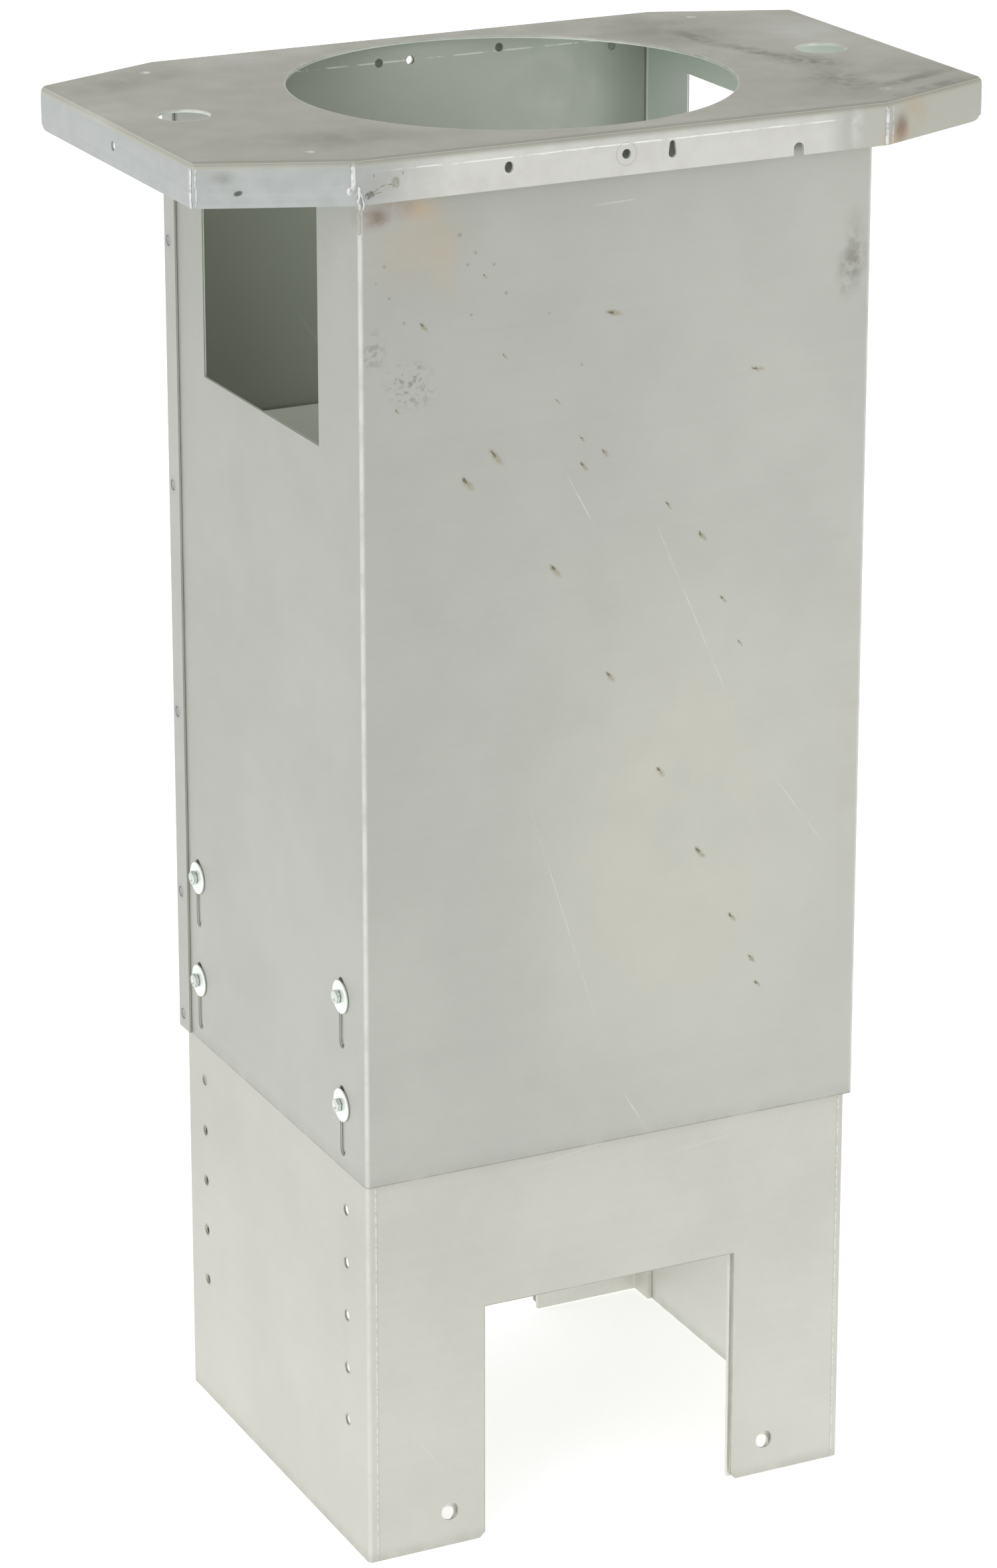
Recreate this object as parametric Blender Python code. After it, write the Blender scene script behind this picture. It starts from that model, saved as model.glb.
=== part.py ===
"""Telescoping sheet-steel riser housing: a flanged top plate with a round opening on an outer
shell, which slides on a legged inner sleeve and is clamped by eight screws in slots.

Blender 4.5, metres, +Z up. The origin is on the floor in the middle of the sleeve, +X is along
the plate's long side and -Y is the front.
"""
import math

import bmesh
import bpy

# ---------------------------------------------------------------- sizes (metres)
SHEET = 0.0015            # wall of the shell and the sleeve
PLATE_SHEET = 0.0019      # wall of the top plate
BEND_R = 0.0028           # outer radius of the shell's and sleeve's bends
PLATE_BEND_R = 0.0042     # outer radius of the top plate's lip bend
JOIN_GAP = 0.0003         # between pieces that touch
SLIDE_GAP_X = 0.0004      # shell to sleeve, each side
SLIDE_GAP_Y = 0.0026      # shell to sleeve, front and rear

SLEEVE_W = 0.3592         # sleeve, outside, side to side
SLEEVE_D = 0.3024         # sleeve, outside, front to rear
SLEEVE_H = 0.7140         # sleeve height
SLEEVE_LAP = 0.0200       # flange of each sleeve half inside the other half's wall
LAP_SETBACK = 0.0050      # a sleeve side wall ends this far short of the corner it covers
LEG_W = 0.0858            # leg left on each side of the cut-out
CUTOUT_H = 0.1705         # height of the cut-outs, front and rear
LEG_CHAMFER = 0.0040      # chamfer at the foot of each leg
ANCHOR_R = 0.00635        # anchor hole in each leg
ANCHOR_INSET = 0.0597     # from the sleeve's side
ANCHOR_Z = 0.0250         # above the floor

ANGLE_T = 0.0032          # corner angle inside each leg
ANGLE_BEND_R = 0.0048
ANGLE_STANDOFF = 0.0034   # from the leg's inner face to the angle
ANGLE_SIDE = 0.0240       # the angle's flange along the side wall
ANGLE_H = 0.1905
ANGLE_HOLE_DROP = 0.0050  # the angle's hole sits this much below the leg's

HOLE_CLEAR = 0.0005       # adjusting holes in the sleeve, round the screws
HOLE_PITCH = 0.0381
FIRST_HOLE_Z = 0.0915
HOLE_TOP_MARGIN = 0.0200
COLUMN_INSET = 0.0324     # hole columns and slots, from the sleeve's front and rear faces
LOWER_SCREW_HOLE = 6      # hole number, counted from 0 at the bottom
ROWS_APART = 2            # holes from the lower row of screws to the upper row

SHELL_H = 0.6848          # shell wall height
SCREW_ABOVE_EDGE = 0.0461  # shell's lower edge to the lower row of screws
SLOT_CLEAR = 0.0008       # slots, each side of the screws
SLOT_UP = 0.0130          # slot's top end above the screw
SLOT_DOWN = 0.0369        # slot's bottom end below the screw
WINDOW_W = 0.1848         # window in each side wall
WINDOW_H = 0.1702
WINDOW_DROP = 0.0014      # window's top edge below the lip's lower edge
SEAM_FLANGE = 0.0199      # rear panel's flange on each side wall
PLUG_R = 0.0035           # plug welds in the seam flanges
PLUG_SINK = 0.0003        # weld face below the flange's face
PLUG_END = 0.0108         # first plug above the shell's lower edge
PLUG_TOP = 0.1166         # last plug below the shell's top edge
PLUG_STEPS = (0.0, 0.1643, 0.4017, 0.6938, 1.0)

WING = 0.0984             # plate past the shell's side walls
LIP_STANDOFF = 0.0079     # lip to the shell's front and rear walls
LIP_H = 0.0287
CORNER_PAST_WALL = 0.0052  # front corners of the plate past the side walls
CORNER_CUT_Y = 0.0386
OPENING_MARGIN = 0.0081   # round opening's edge inside the shell's walls
WING_HOLE_R = 0.0168
WING_HOLE_INSET = 0.0486  # wing hole's centre from the plate's end
PLATE_HOLE_R = 0.0030
PLATE_HOLE_INSET_X = 0.0764
PLATE_HOLE_INSET_Y = 0.0339
LIP_HOLE_R = 0.0031
LIP_SLOT_R = 0.0027
LIP_SLOT_LENGTH = 0.0112
LIP_NOTCH_R = 0.0038
LIP_NOTCH_H = 0.0085
LIP_HOLE_Z = 0.0150       # hole centres below the plate's top face
LIP_WELD_R = 0.0016

WELD_LEG = 0.0030         # fillet welds
TOP_WELD_LENGTH = 0.0500
SEAM_WELD_LENGTH = 0.0250
SEAM_WELD_Z = (0.2300, 0.6000)

SCREW_R = 0.003175        # quarter-inch screw
SCREW_LENGTH = 0.0159
SCREW_RUN_GAP = 0.00035   # screw to washer and nut
HEAD_AF = 0.0084
HEAD_H = 0.0030
WASHER_R = 0.0113
WASHER_T = 0.0016
NUT_AF = 0.0111
NUT_T = 0.0056

CUT_PAST = 0.0100         # cutters run past the faces they cut

# ---------------------------------------------------------------- derived sizes
SHELL_W = SLEEVE_W + 2.0 * (SHEET + SLIDE_GAP_X)
SHELL_D = SLEEVE_D + 2.0 * (SHEET + SLIDE_GAP_Y)
SEAM_OUT = SHELL_W / 2.0 + JOIN_GAP + SHEET
HOLE_R = SCREW_R + HOLE_CLEAR
SLOT_R = SCREW_R + SLOT_CLEAR
CUTOUT_HALF = SLEEVE_W / 2.0 - LEG_W
COLUMN_Y = SLEEVE_D / 2.0 - COLUMN_INSET
LOWER_SCREW_Z = FIRST_HOLE_Z + LOWER_SCREW_HOLE * HOLE_PITCH
UPPER_SCREW_Z = LOWER_SCREW_Z + ROWS_APART * HOLE_PITCH
SHELL_Z = LOWER_SCREW_Z - SCREW_ABOVE_EDGE
PLATE_TOP = SHELL_H + JOIN_GAP + PLATE_SHEET
PLATE_X = SHELL_W / 2.0 + WING
PLATE_Y = SHELL_D / 2.0 + LIP_STANDOFF + PLATE_SHEET
CORNER_CUT_X = WING - CORNER_PAST_WALL
OPENING_R = min(SHELL_W, SHELL_D) / 2.0 - OPENING_MARGIN
LIP_BOTTOM = PLATE_TOP - LIP_H
WINDOW_TOP = LIP_BOTTOM - WINDOW_DROP
HOLE_COUNT = int((SLEEVE_H - HOLE_TOP_MARGIN - FIRST_HOLE_Z) / HOLE_PITCH) + 1
# Places along the front wall and lip, from the middle: hole, centre hole, slot, edge notch.
LIP_HOLE_X = (-0.0836, -0.0019)
LIP_SLOT_X = 0.0305
LIP_NOTCH_X = 0.1211
# Holes in the rear wall: place along it, and rise above the line of the lip holes.
REAR_HOLES = ((-0.0236, 0.0), (0.0, 0.0), (0.0669, 0.0026), (0.1535, -0.0044))
# The hole in the rear lip, a little off the rear wall's second hole.
REAR_LIP_HOLE = (0.0030, -0.0020)


# ---------------------------------------------------------------- scene helpers
def clear_scene():
    for obj in list(bpy.data.objects):
        bpy.data.objects.remove(obj, do_unlink=True)


def steel(name, colour, roughness, metallic):
    material = bpy.data.materials.new(name)
    material.use_nodes = True
    shader = material.node_tree.nodes["Principled BSDF"]
    shader.inputs["Base Color"].default_value = (*colour, 1.0)
    shader.inputs["Roughness"].default_value = roughness
    shader.inputs["Metallic"].default_value = metallic
    material.diffuse_color = (*colour, 1.0)
    return material


def plate_steel(name):
    return steel(name, (0.42, 0.43, 0.39), 0.55, 0.6)


def shell_steel(name):
    return steel(name, (0.47, 0.48, 0.44), 0.52, 0.6)


def sleeve_steel(name):
    return steel(name, (0.58, 0.58, 0.54), 0.50, 0.6)


def angle_steel(name):
    return steel(name, (0.50, 0.50, 0.46), 0.60, 0.6)


def weld_metal(name):
    return steel(name, (0.36, 0.34, 0.30), 0.60, 0.7)


def zinc(name):
    return steel(name, (0.74, 0.78, 0.72), 0.30, 0.9)


def add_object(name, mesh, material, parent=None, location=(0.0, 0.0, 0.0), rotation=(0.0, 0.0, 0.0)):
    obj = bpy.data.objects.new(name, mesh)
    bpy.context.scene.collection.objects.link(obj)
    if material is not None:
        if mesh.materials:
            mesh.materials[0] = material
        else:
            mesh.materials.append(material)
    obj.parent = parent
    obj.location = location
    obj.rotation_euler = rotation
    return obj


def add_empty(name, location):
    empty = bpy.data.objects.new(name, None)
    bpy.context.scene.collection.objects.link(empty)
    empty.location = location
    return empty


def finish_mesh(name, bm, smooth_angle=None):
    bmesh.ops.recalc_face_normals(bm, faces=bm.faces)
    mesh = bpy.data.meshes.new(name)
    bm.to_mesh(mesh)
    bm.free()
    if smooth_angle is not None:
        mesh.shade_smooth()
        mesh.set_sharp_from_angle(angle=math.radians(smooth_angle))
    return mesh


def add_prism(bm, outline, low, high, axis="z"):
    """Extrude a flat outline between two levels on an axis. An outline point is (x, y) for z,
    (y, z) for x and (x, z) for y."""
    def place(point, level):
        if axis == "z":
            return (point[0], point[1], level)
        if axis == "x":
            return (level, point[0], point[1])
        return (point[0], level, point[1])

    bottom = [bm.verts.new(place(point, low)) for point in outline]
    top = [bm.verts.new(place(point, high)) for point in outline]
    count = len(outline)
    faces = [bm.faces.new(bottom), bm.faces.new(top[::-1])]
    for i in range(count):
        j = (i + 1) % count
        faces.append(bm.faces.new((bottom[j], bottom[i], top[i], top[j])))
    bmesh.ops.recalc_face_normals(bm, faces=faces)


def circle(cx, cy, radius, segments):
    points = []
    for i in range(segments):
        angle = 2.0 * math.pi * i / segments
        points.append((cx + radius * math.cos(angle), cy + radius * math.sin(angle)))
    return points


def stadium(cx, low, high, radius, segments=6):
    """Upright slot outline between its two end points."""
    points = []
    for i in range(segments + 1):
        angle = math.pi * i / segments
        points.append((cx + radius * math.cos(angle), high - radius + radius * math.sin(angle)))
    for i in range(segments + 1):
        angle = math.pi + math.pi * i / segments
        points.append((cx + radius * math.cos(angle), low + radius + radius * math.sin(angle)))
    return points


def box(x0, x1, y0, y1):
    return [(x0, y0), (x1, y0), (x1, y1), (x0, y1)]


def arc(centre, start, end, radius, steps):
    """Points on an arc from one angle to another, in degrees."""
    points = []
    for i in range(steps + 1):
        angle = math.radians(start + (end - start) * i / steps)
        points.append((centre[0] + radius * math.cos(angle), centre[1] + radius * math.sin(angle)))
    return points


def bent_sheet(path, thickness, bend_r, steps=4):
    """Outline of a folded sheet. The path is the outer faces' line with sharp corners; the sheet
    lies on its left-hand side and every corner turns left by 90 degrees."""
    outer = [path[0]]
    inner = []
    first = direction(path[0], path[1])
    inner.append((path[0][0] - first[1] * thickness, path[0][1] + first[0] * thickness))
    for i in range(1, len(path) - 1):
        before = direction(path[i - 1], path[i])
        after = direction(path[i], path[i + 1])
        corner = path[i]
        centre = (corner[0] - before[0] * bend_r + after[0] * bend_r,
                  corner[1] - before[1] * bend_r + after[1] * bend_r)
        start = math.degrees(math.atan2(-before[0], before[1]))
        outer += arc(centre, start, start + 90.0, bend_r, steps)
        inner += arc(centre, start, start + 90.0, bend_r - thickness, steps)
    last = direction(path[-2], path[-1])
    outer.append(path[-1])
    inner.append((path[-1][0] - last[1] * thickness, path[-1][1] + last[0] * thickness))
    return outer + inner[::-1]


def direction(a, b):
    length = math.hypot(b[0] - a[0], b[1] - a[1])
    return ((b[0] - a[0]) / length, (b[1] - a[1]) / length)


def cut(target, name, bm, parent):
    """Take every solid in bm out of the target."""
    cutter = add_object(name, finish_mesh(name, bm), None, parent)
    cutter.hide_render = True
    cutter.display_type = "WIRE"
    modifier = target.modifiers.new(name, "BOOLEAN")
    modifier.operation = "DIFFERENCE"
    modifier.solver = "EXACT"
    modifier.object = cutter


# ---------------------------------------------------------------- top plate
def octagon(inset):
    """Plate outline moved inwards, anticlockwise from the front edge's left corner."""
    x = PLATE_X - inset
    y = PLATE_Y - inset
    slope = math.hypot(CORNER_CUT_X, CORNER_CUT_Y)
    cut_x = CORNER_CUT_X + inset * (slope - CORNER_CUT_X - CORNER_CUT_Y) / CORNER_CUT_Y
    cut_y = CORNER_CUT_Y + inset * (slope - CORNER_CUT_X - CORNER_CUT_Y) / CORNER_CUT_X
    return [(-x + cut_x, -y), (x - cut_x, -y), (x, -y + cut_y), (x, y - cut_y),
            (x - cut_x, y), (-x + cut_x, y), (-x, y - cut_y), (-x, -y + cut_y)]


def plate_rings():
    """Inset and height of each ring, over the outside of the lip and back up its inside."""
    rings = [(PLATE_BEND_R, PLATE_TOP)]
    steps = 4
    for i in range(1, steps + 1):
        angle = math.pi / 2.0 * i / steps
        rings.append((PLATE_BEND_R * (1.0 - math.sin(angle)),
                      PLATE_TOP - PLATE_BEND_R * (1.0 - math.cos(angle))))
    rings.append((0.0, LIP_BOTTOM))
    rings.append((PLATE_SHEET, LIP_BOTTOM))
    inner_r = PLATE_BEND_R - PLATE_SHEET
    for i in range(steps, 0, -1):
        angle = math.pi / 2.0 * i / steps
        rings.append((PLATE_BEND_R - inner_r * math.sin(angle),
                      PLATE_TOP - PLATE_BEND_R + inner_r * math.cos(angle)))
    rings.append((PLATE_BEND_R, PLATE_TOP - PLATE_SHEET))
    return rings


def plate_mesh():
    bm = bmesh.new()
    loops = []
    for inset, height in plate_rings():
        loops.append([bm.verts.new((x, y, height)) for x, y in octagon(inset)])
    for upper, lower in zip(loops, loops[1:]):
        for i in range(8):
            j = (i + 1) % 8
            bm.faces.new((upper[i], lower[i], lower[j], upper[j]))
    bm.faces.new(loops[0])
    bm.faces.new(loops[-1][::-1])
    return finish_mesh("top_plate", bm)


def lip_corner(i):
    return octagon(PLATE_SHEET / 2.0)[i]


def plate_cutters():
    bm = bmesh.new()
    low = PLATE_TOP - PLATE_SHEET - CUT_PAST
    high = PLATE_TOP + CUT_PAST
    add_prism(bm, circle(0.0, 0.0, OPENING_R, 72), low, high)
    for side in (-1.0, 1.0):
        add_prism(bm, circle(side * (PLATE_X - WING_HOLE_INSET), 0.0, WING_HOLE_R, 28), low, high)
        for end in (-1.0, 1.0):
            hole = circle(side * (PLATE_X - PLATE_HOLE_INSET_X), end * (PLATE_Y - PLATE_HOLE_INSET_Y),
                          PLATE_HOLE_R, 14)
            add_prism(bm, hole, low, high)
    weld_top = PLATE_TOP - PLATE_BEND_R
    for i in range(8):
        cx, cy = lip_corner(i)
        add_prism(bm, circle(cx, cy, LIP_WELD_R + JOIN_GAP, 14), LIP_BOTTOM - CUT_PAST,
                  weld_top + JOIN_GAP)
    return bm


def lip_cutters():
    bm = bmesh.new()
    z = PLATE_TOP - LIP_HOLE_Z
    front = (-PLATE_Y - CUT_PAST, -PLATE_Y + PLATE_SHEET + LIP_STANDOFF / 2.0)
    for x in LIP_HOLE_X:
        add_prism(bm, circle(x, z, LIP_HOLE_R, 14), *front, axis="y")
    slot = stadium(LIP_SLOT_X, z - LIP_SLOT_LENGTH / 2.0, z + LIP_SLOT_LENGTH / 2.0, LIP_SLOT_R)
    add_prism(bm, slot, *front, axis="y")
    notch = stadium(LIP_NOTCH_X, LIP_BOTTOM - CUT_PAST, LIP_BOTTOM + LIP_NOTCH_H, LIP_NOTCH_R)
    add_prism(bm, notch, *front, axis="y")
    rear = (PLATE_Y - PLATE_SHEET - LIP_STANDOFF / 2.0, PLATE_Y + CUT_PAST)
    add_prism(bm, circle(REAR_LIP_HOLE[0], z + REAR_LIP_HOLE[1], LIP_HOLE_R, 14), *rear, axis="y")
    for side in (-1.0, 1.0):
        through = sorted((side * (PLATE_X - PLATE_SHEET - CUT_PAST), side * (PLATE_X + CUT_PAST)))
        add_prism(bm, circle(0.0, z, LIP_HOLE_R, 14), *through, axis="x")
    return bm


LIP_CORNERS = ("front_left", "front_right", "right_front", "right_rear",
               "rear_right", "rear_left", "left_rear", "left_front")


def build_top_plate(lift):
    plate = add_object("top_plate", plate_mesh(), plate_steel("top_plate_steel"), lift)
    cut(plate, "plate_cutter", plate_cutters(), lift)
    cut(plate, "lip_cutter", lip_cutters(), lift)
    for i, corner in enumerate(LIP_CORNERS):
        build_lip_weld("lip_weld_" + corner, i, lift)
    build_top_welds(lift)


def build_lip_weld(name, i, lift):
    """A bead that fills the open seam between two lips."""
    bm = bmesh.new()
    cx, cy = lip_corner(i)
    add_prism(bm, circle(0.0, 0.0, LIP_WELD_R, 14), LIP_BOTTOM, PLATE_TOP - PLATE_BEND_R)
    mesh = finish_mesh(name, bm, 40.0)
    add_object(name, mesh, weld_metal(name + "_metal"), lift, location=(cx, cy, 0.0))


def build_top_welds(lift):
    """One fillet bead outside each wall, in the corner under the plate."""
    top = SHELL_H
    profile = [(0.0, top), (0.0, top - WELD_LEG), (WELD_LEG * 0.7, top - WELD_LEG * 0.7),
               (WELD_LEG, top)]
    half = TOP_WELD_LENGTH / 2.0
    front = SHELL_D / 2.0 + JOIN_GAP
    side = SHELL_W / 2.0 + JOIN_GAP
    for name, face, axis, sign in (("top_weld_left", side, "y", -1.0), ("top_weld_right", side, "y", 1.0),
                                   ("top_weld_front", front, "x", -1.0),
                                   ("top_weld_rear", front, "x", 1.0)):
        bm = bmesh.new()
        outline = [(sign * (face + a), z) for a, z in profile]
        add_prism(bm, outline, -half, half, axis)
        add_object(name, finish_mesh(name, bm), weld_metal(name + "_metal"), lift)


# ---------------------------------------------------------------- shell
def build_shell_front(lift):
    """Front and both side walls, folded from one sheet."""
    x = SHELL_W / 2.0
    y = SHELL_D / 2.0
    end = y - BEND_R - JOIN_GAP
    bm = bmesh.new()
    add_prism(bm, bent_sheet([(-x, end), (-x, -y), (x, -y), (x, end)], SHEET, BEND_R), 0.0, SHELL_H)
    shell = add_object("shell_front", finish_mesh("shell_front", bm, 40.0),
                       shell_steel("shell_front_steel"), lift)
    cut(shell, "shell_side_cutter", shell_side_cutters(), lift)
    cut(shell, "shell_face_cutter", shell_face_cutters(), lift)


def shell_side_cutters():
    bm = bmesh.new()
    level = SHELL_W / 2.0
    rows = (SCREW_ABOVE_EDGE, SCREW_ABOVE_EDGE + ROWS_APART * HOLE_PITCH)
    for side in (-1.0, 1.0):
        span = sorted((side * (level - SHEET - CUT_PAST), side * (level + CUT_PAST)))
        window = box(-WINDOW_W / 2.0, WINDOW_W / 2.0, WINDOW_TOP - WINDOW_H, WINDOW_TOP)
        add_prism(bm, window, *span, axis="x")
        for y in (-COLUMN_Y, COLUMN_Y):
            for z in rows:
                add_prism(bm, stadium(y, z - SLOT_DOWN, z + SLOT_UP, SLOT_R), *span, axis="x")
    return bm


def shell_face_cutters():
    """Holes in the front wall behind those of the lip."""
    bm = bmesh.new()
    y = SHELL_D / 2.0
    z = PLATE_TOP - LIP_HOLE_Z
    span = (-y - LIP_STANDOFF / 2.0, -y + SHEET + CUT_PAST)
    for x in LIP_HOLE_X + (LIP_SLOT_X,):
        add_prism(bm, circle(x, z, LIP_HOLE_R, 14), *span, axis="y")
    add_prism(bm, circle(LIP_NOTCH_X, LIP_BOTTOM + LIP_NOTCH_H / 2.0, LIP_HOLE_R, 14), *span, axis="y")
    return bm


def build_shell_rear(lift):
    """Rear wall with a flange over the outside of each side wall."""
    x = SEAM_OUT
    y = SHELL_D / 2.0
    flange = y - SEAM_FLANGE
    bm = bmesh.new()
    add_prism(bm, bent_sheet([(x, flange), (x, y), (-x, y), (-x, flange)], SHEET, BEND_R), 0.0, SHELL_H)
    shell = add_object("shell_rear", finish_mesh("shell_rear", bm, 40.0),
                       shell_steel("shell_rear_steel"), lift)
    bm = bmesh.new()
    for hole_x, rise in REAR_HOLES:
        add_prism(bm, circle(hole_x, PLATE_TOP - LIP_HOLE_Z + rise, LIP_HOLE_R, 14),
                  y - SHEET - CUT_PAST, y + LIP_STANDOFF / 2.0, axis="y")
    cut(shell, "shell_rear_cutter", bm, lift)
    bm = bmesh.new()
    for side in (-1.0, 1.0):
        span = sorted((side * (x - SHEET - CUT_PAST), side * (x + CUT_PAST)))
        for z in plug_heights():
            add_prism(bm, circle(plug_y(), z, PLUG_R + JOIN_GAP, 14), *span, axis="x")
    cut(shell, "shell_plug_cutter", bm, lift)
    build_seam_plugs(lift)


def plug_y():
    return SHELL_D / 2.0 - SEAM_FLANGE / 2.0 + 0.0008


def plug_heights():
    reach = SHELL_H - PLUG_END - PLUG_TOP
    return [PLUG_END + step * reach for step in PLUG_STEPS]


def build_seam_plugs(lift):
    """Weld nuggets that fill the flange's holes and sit on the side walls."""
    inner = SHELL_W / 2.0 + JOIN_GAP
    outer = SEAM_OUT - PLUG_SINK
    for label, side in (("left", -1.0), ("right", 1.0)):
        for i, z in enumerate(plug_heights()):
            name = "seam_plug_%s_%d" % (label, i + 1)
            bm = bmesh.new()
            add_prism(bm, circle(0.0, 0.0, PLUG_R, 14), *sorted((side * inner, side * outer)), axis="x")
            add_object(name, finish_mesh(name, bm, 40.0), weld_metal(name + "_metal"), lift,
                       location=(0.0, plug_y(), z))


# ---------------------------------------------------------------- sleeve
def sleeve_half_mesh(name):
    """Front wall, left wall and a flange at the front right; turned half round it is the other half."""
    x = SLEEVE_W / 2.0
    y = SLEEVE_D / 2.0
    right = x - SHEET - JOIN_GAP
    bm = bmesh.new()
    path = [(-x, y - LAP_SETBACK), (-x, -y), (right, -y), (right, -y + SLEEVE_LAP)]
    add_prism(bm, bent_sheet(path, SHEET, BEND_R), 0.0, SLEEVE_H)
    return finish_mesh(name, bm, 40.0)


def leg_cutters():
    """Cut-out between the legs, and the anchor hole in each leg."""
    bm = bmesh.new()
    y = SLEEVE_D / 2.0
    c = CUTOUT_HALF
    flare = c + LEG_CHAMFER
    outline = [(-flare, -CUT_PAST), (flare, -CUT_PAST), (flare, 0.0), (c, LEG_CHAMFER), (c, CUTOUT_H),
               (-c, CUTOUT_H), (-c, LEG_CHAMFER), (-flare, 0.0)]
    span = (-y - CUT_PAST, -y + SHEET + CUT_PAST)
    add_prism(bm, outline, *span, axis="y")
    for side in (-1.0, 1.0):
        hole = circle(side * (SLEEVE_W / 2.0 - ANCHOR_INSET), ANCHOR_Z, ANCHOR_R, 20)
        add_prism(bm, hole, *span, axis="y")
    return bm


def side_hole_cutters():
    """Two columns of adjusting holes in the left wall."""
    bm = bmesh.new()
    x = SLEEVE_W / 2.0
    for y in (-COLUMN_Y, COLUMN_Y):
        for i in range(HOLE_COUNT):
            add_prism(bm, circle(y, FIRST_HOLE_Z + i * HOLE_PITCH, HOLE_R, 12),
                      -x - CUT_PAST, -x + SHEET + CUT_PAST, axis="x")
    return bm


def build_sleeve():
    for name, turn in (("sleeve_front_left", 0.0), ("sleeve_rear_right", math.pi)):
        frame = add_empty(name + "_frame", (0.0, 0.0, 0.0))
        frame.rotation_euler = (0.0, 0.0, turn)
        half = add_object(name, sleeve_half_mesh(name), sleeve_steel(name + "_steel"), frame)
        cut(half, name + "_leg_cutter", leg_cutters(), frame)
        cut(half, name + "_hole_cutter", side_hole_cutters(), frame)
        build_sleeve_welds(name, frame)
        build_foot_angles(name, frame)


def build_sleeve_welds(half_name, frame):
    """Beads along the free edge of the lapped flange, inside."""
    wall = SLEEVE_W / 2.0 - SHEET - JOIN_GAP
    edge = -SLEEVE_D / 2.0 + SLEEVE_LAP + JOIN_GAP
    leg = SHEET
    outline = [(wall, edge), (wall, edge + leg), (wall - leg * 0.7, edge + leg * 0.7), (wall - leg, edge)]
    for i, z in enumerate(SEAM_WELD_Z):
        name = half_name.replace("sleeve", "sleeve_weld") + "_%d" % (i + 1)
        bm = bmesh.new()
        add_prism(bm, outline, z, z + SEAM_WELD_LENGTH)
        add_object(name, finish_mesh(name, bm), weld_metal(name + "_metal"), frame)


def build_foot_angles(half_name, frame):
    """A thick angle behind each leg of this half: one in the bend, one inside the flange."""
    y = -SLEEVE_D / 2.0 + SHEET + ANGLE_STANDOFF
    left = -SLEEVE_W / 2.0 + SHEET + JOIN_GAP
    right = SLEEVE_W / 2.0 - 2.0 * (SHEET + JOIN_GAP)
    paths = (("outer", -1.0, [(left, y + ANGLE_SIDE), (left, y), (-CUTOUT_HALF, y)]),
             ("lap", 1.0, [(CUTOUT_HALF, y), (right, y), (right, y + ANGLE_SIDE)]))
    for label, side, path in paths:
        name = half_name.replace("sleeve", "foot_angle") + "_" + label
        bm = bmesh.new()
        add_prism(bm, bent_sheet(path, ANGLE_T, ANGLE_BEND_R), 0.0, ANGLE_H)
        angle = add_object(name, finish_mesh(name, bm, 40.0), angle_steel(name + "_steel"), frame)
        bm = bmesh.new()
        hole = circle(side * (SLEEVE_W / 2.0 - ANCHOR_INSET), ANCHOR_Z - ANGLE_HOLE_DROP, ANCHOR_R, 20)
        add_prism(bm, hole, y - ANGLE_STANDOFF / 2.0, y + ANGLE_T + CUT_PAST, axis="y")
        cut(angle, name + "_cutter", bm, frame)


# ---------------------------------------------------------------- adjusting screws
SIDES = 24


def hex_radius(i, across_flats):
    """Radius of a hexagon in the direction of point i of a ring of SIDES points."""
    angle = math.radians((360.0 * i / SIDES) % 60.0 - 30.0)
    return across_flats / 2.0 / math.cos(angle)


def ring(bm, radius, z, across_flats=None):
    verts = []
    for i in range(SIDES):
        angle = 2.0 * math.pi * i / SIDES
        r = radius if across_flats is None else hex_radius(i, across_flats)
        verts.append(bm.verts.new((r * math.cos(angle), r * math.sin(angle), z)))
    return verts


def skin(bm, rings, closed=False):
    pairs = list(zip(rings, rings[1:]))
    if closed:
        pairs.append((rings[-1], rings[0]))
    for lower, upper in pairs:
        for i in range(SIDES):
            j = (i + 1) % SIDES
            bm.faces.new((lower[i], lower[j], upper[j], upper[i]))


def screw_mesh():
    """Hex head with a dished top on a plain shank, head outwards along +Z from its bearing face."""
    bm = bmesh.new()
    rings = [ring(bm, SCREW_R - 0.0006, -SCREW_LENGTH),
             ring(bm, SCREW_R, -SCREW_LENGTH + 0.0006),
             ring(bm, SCREW_R, 0.0),
             ring(bm, 0.0, 0.0, HEAD_AF),
             ring(bm, 0.0, HEAD_H - 0.0005, HEAD_AF),
             ring(bm, HEAD_AF * 0.47, HEAD_H),
             ring(bm, HEAD_AF * 0.30, HEAD_H),
             ring(bm, HEAD_AF * 0.22, HEAD_H - 0.0010)]
    skin(bm, rings)
    bm.faces.new(rings[0][::-1])
    bm.faces.new(rings[-1])
    return finish_mesh("adjusting_screw", bm, 35.0)


def washer_mesh():
    bm = bmesh.new()
    bore = SCREW_R + SCREW_RUN_GAP
    rings = [ring(bm, bore, 0.0), ring(bm, WASHER_R, 0.0),
             ring(bm, WASHER_R, WASHER_T), ring(bm, bore, WASHER_T)]
    skin(bm, rings, closed=True)
    return finish_mesh("washer", bm, 35.0)


def nut_mesh():
    bm = bmesh.new()
    bore = SCREW_R + SCREW_RUN_GAP
    rings = [ring(bm, bore, 0.0), ring(bm, 0.0, 0.0, NUT_AF),
             ring(bm, 0.0, NUT_T, NUT_AF), ring(bm, bore, NUT_T)]
    skin(bm, rings, closed=True)
    return finish_mesh("nut", bm, 35.0)


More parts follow.
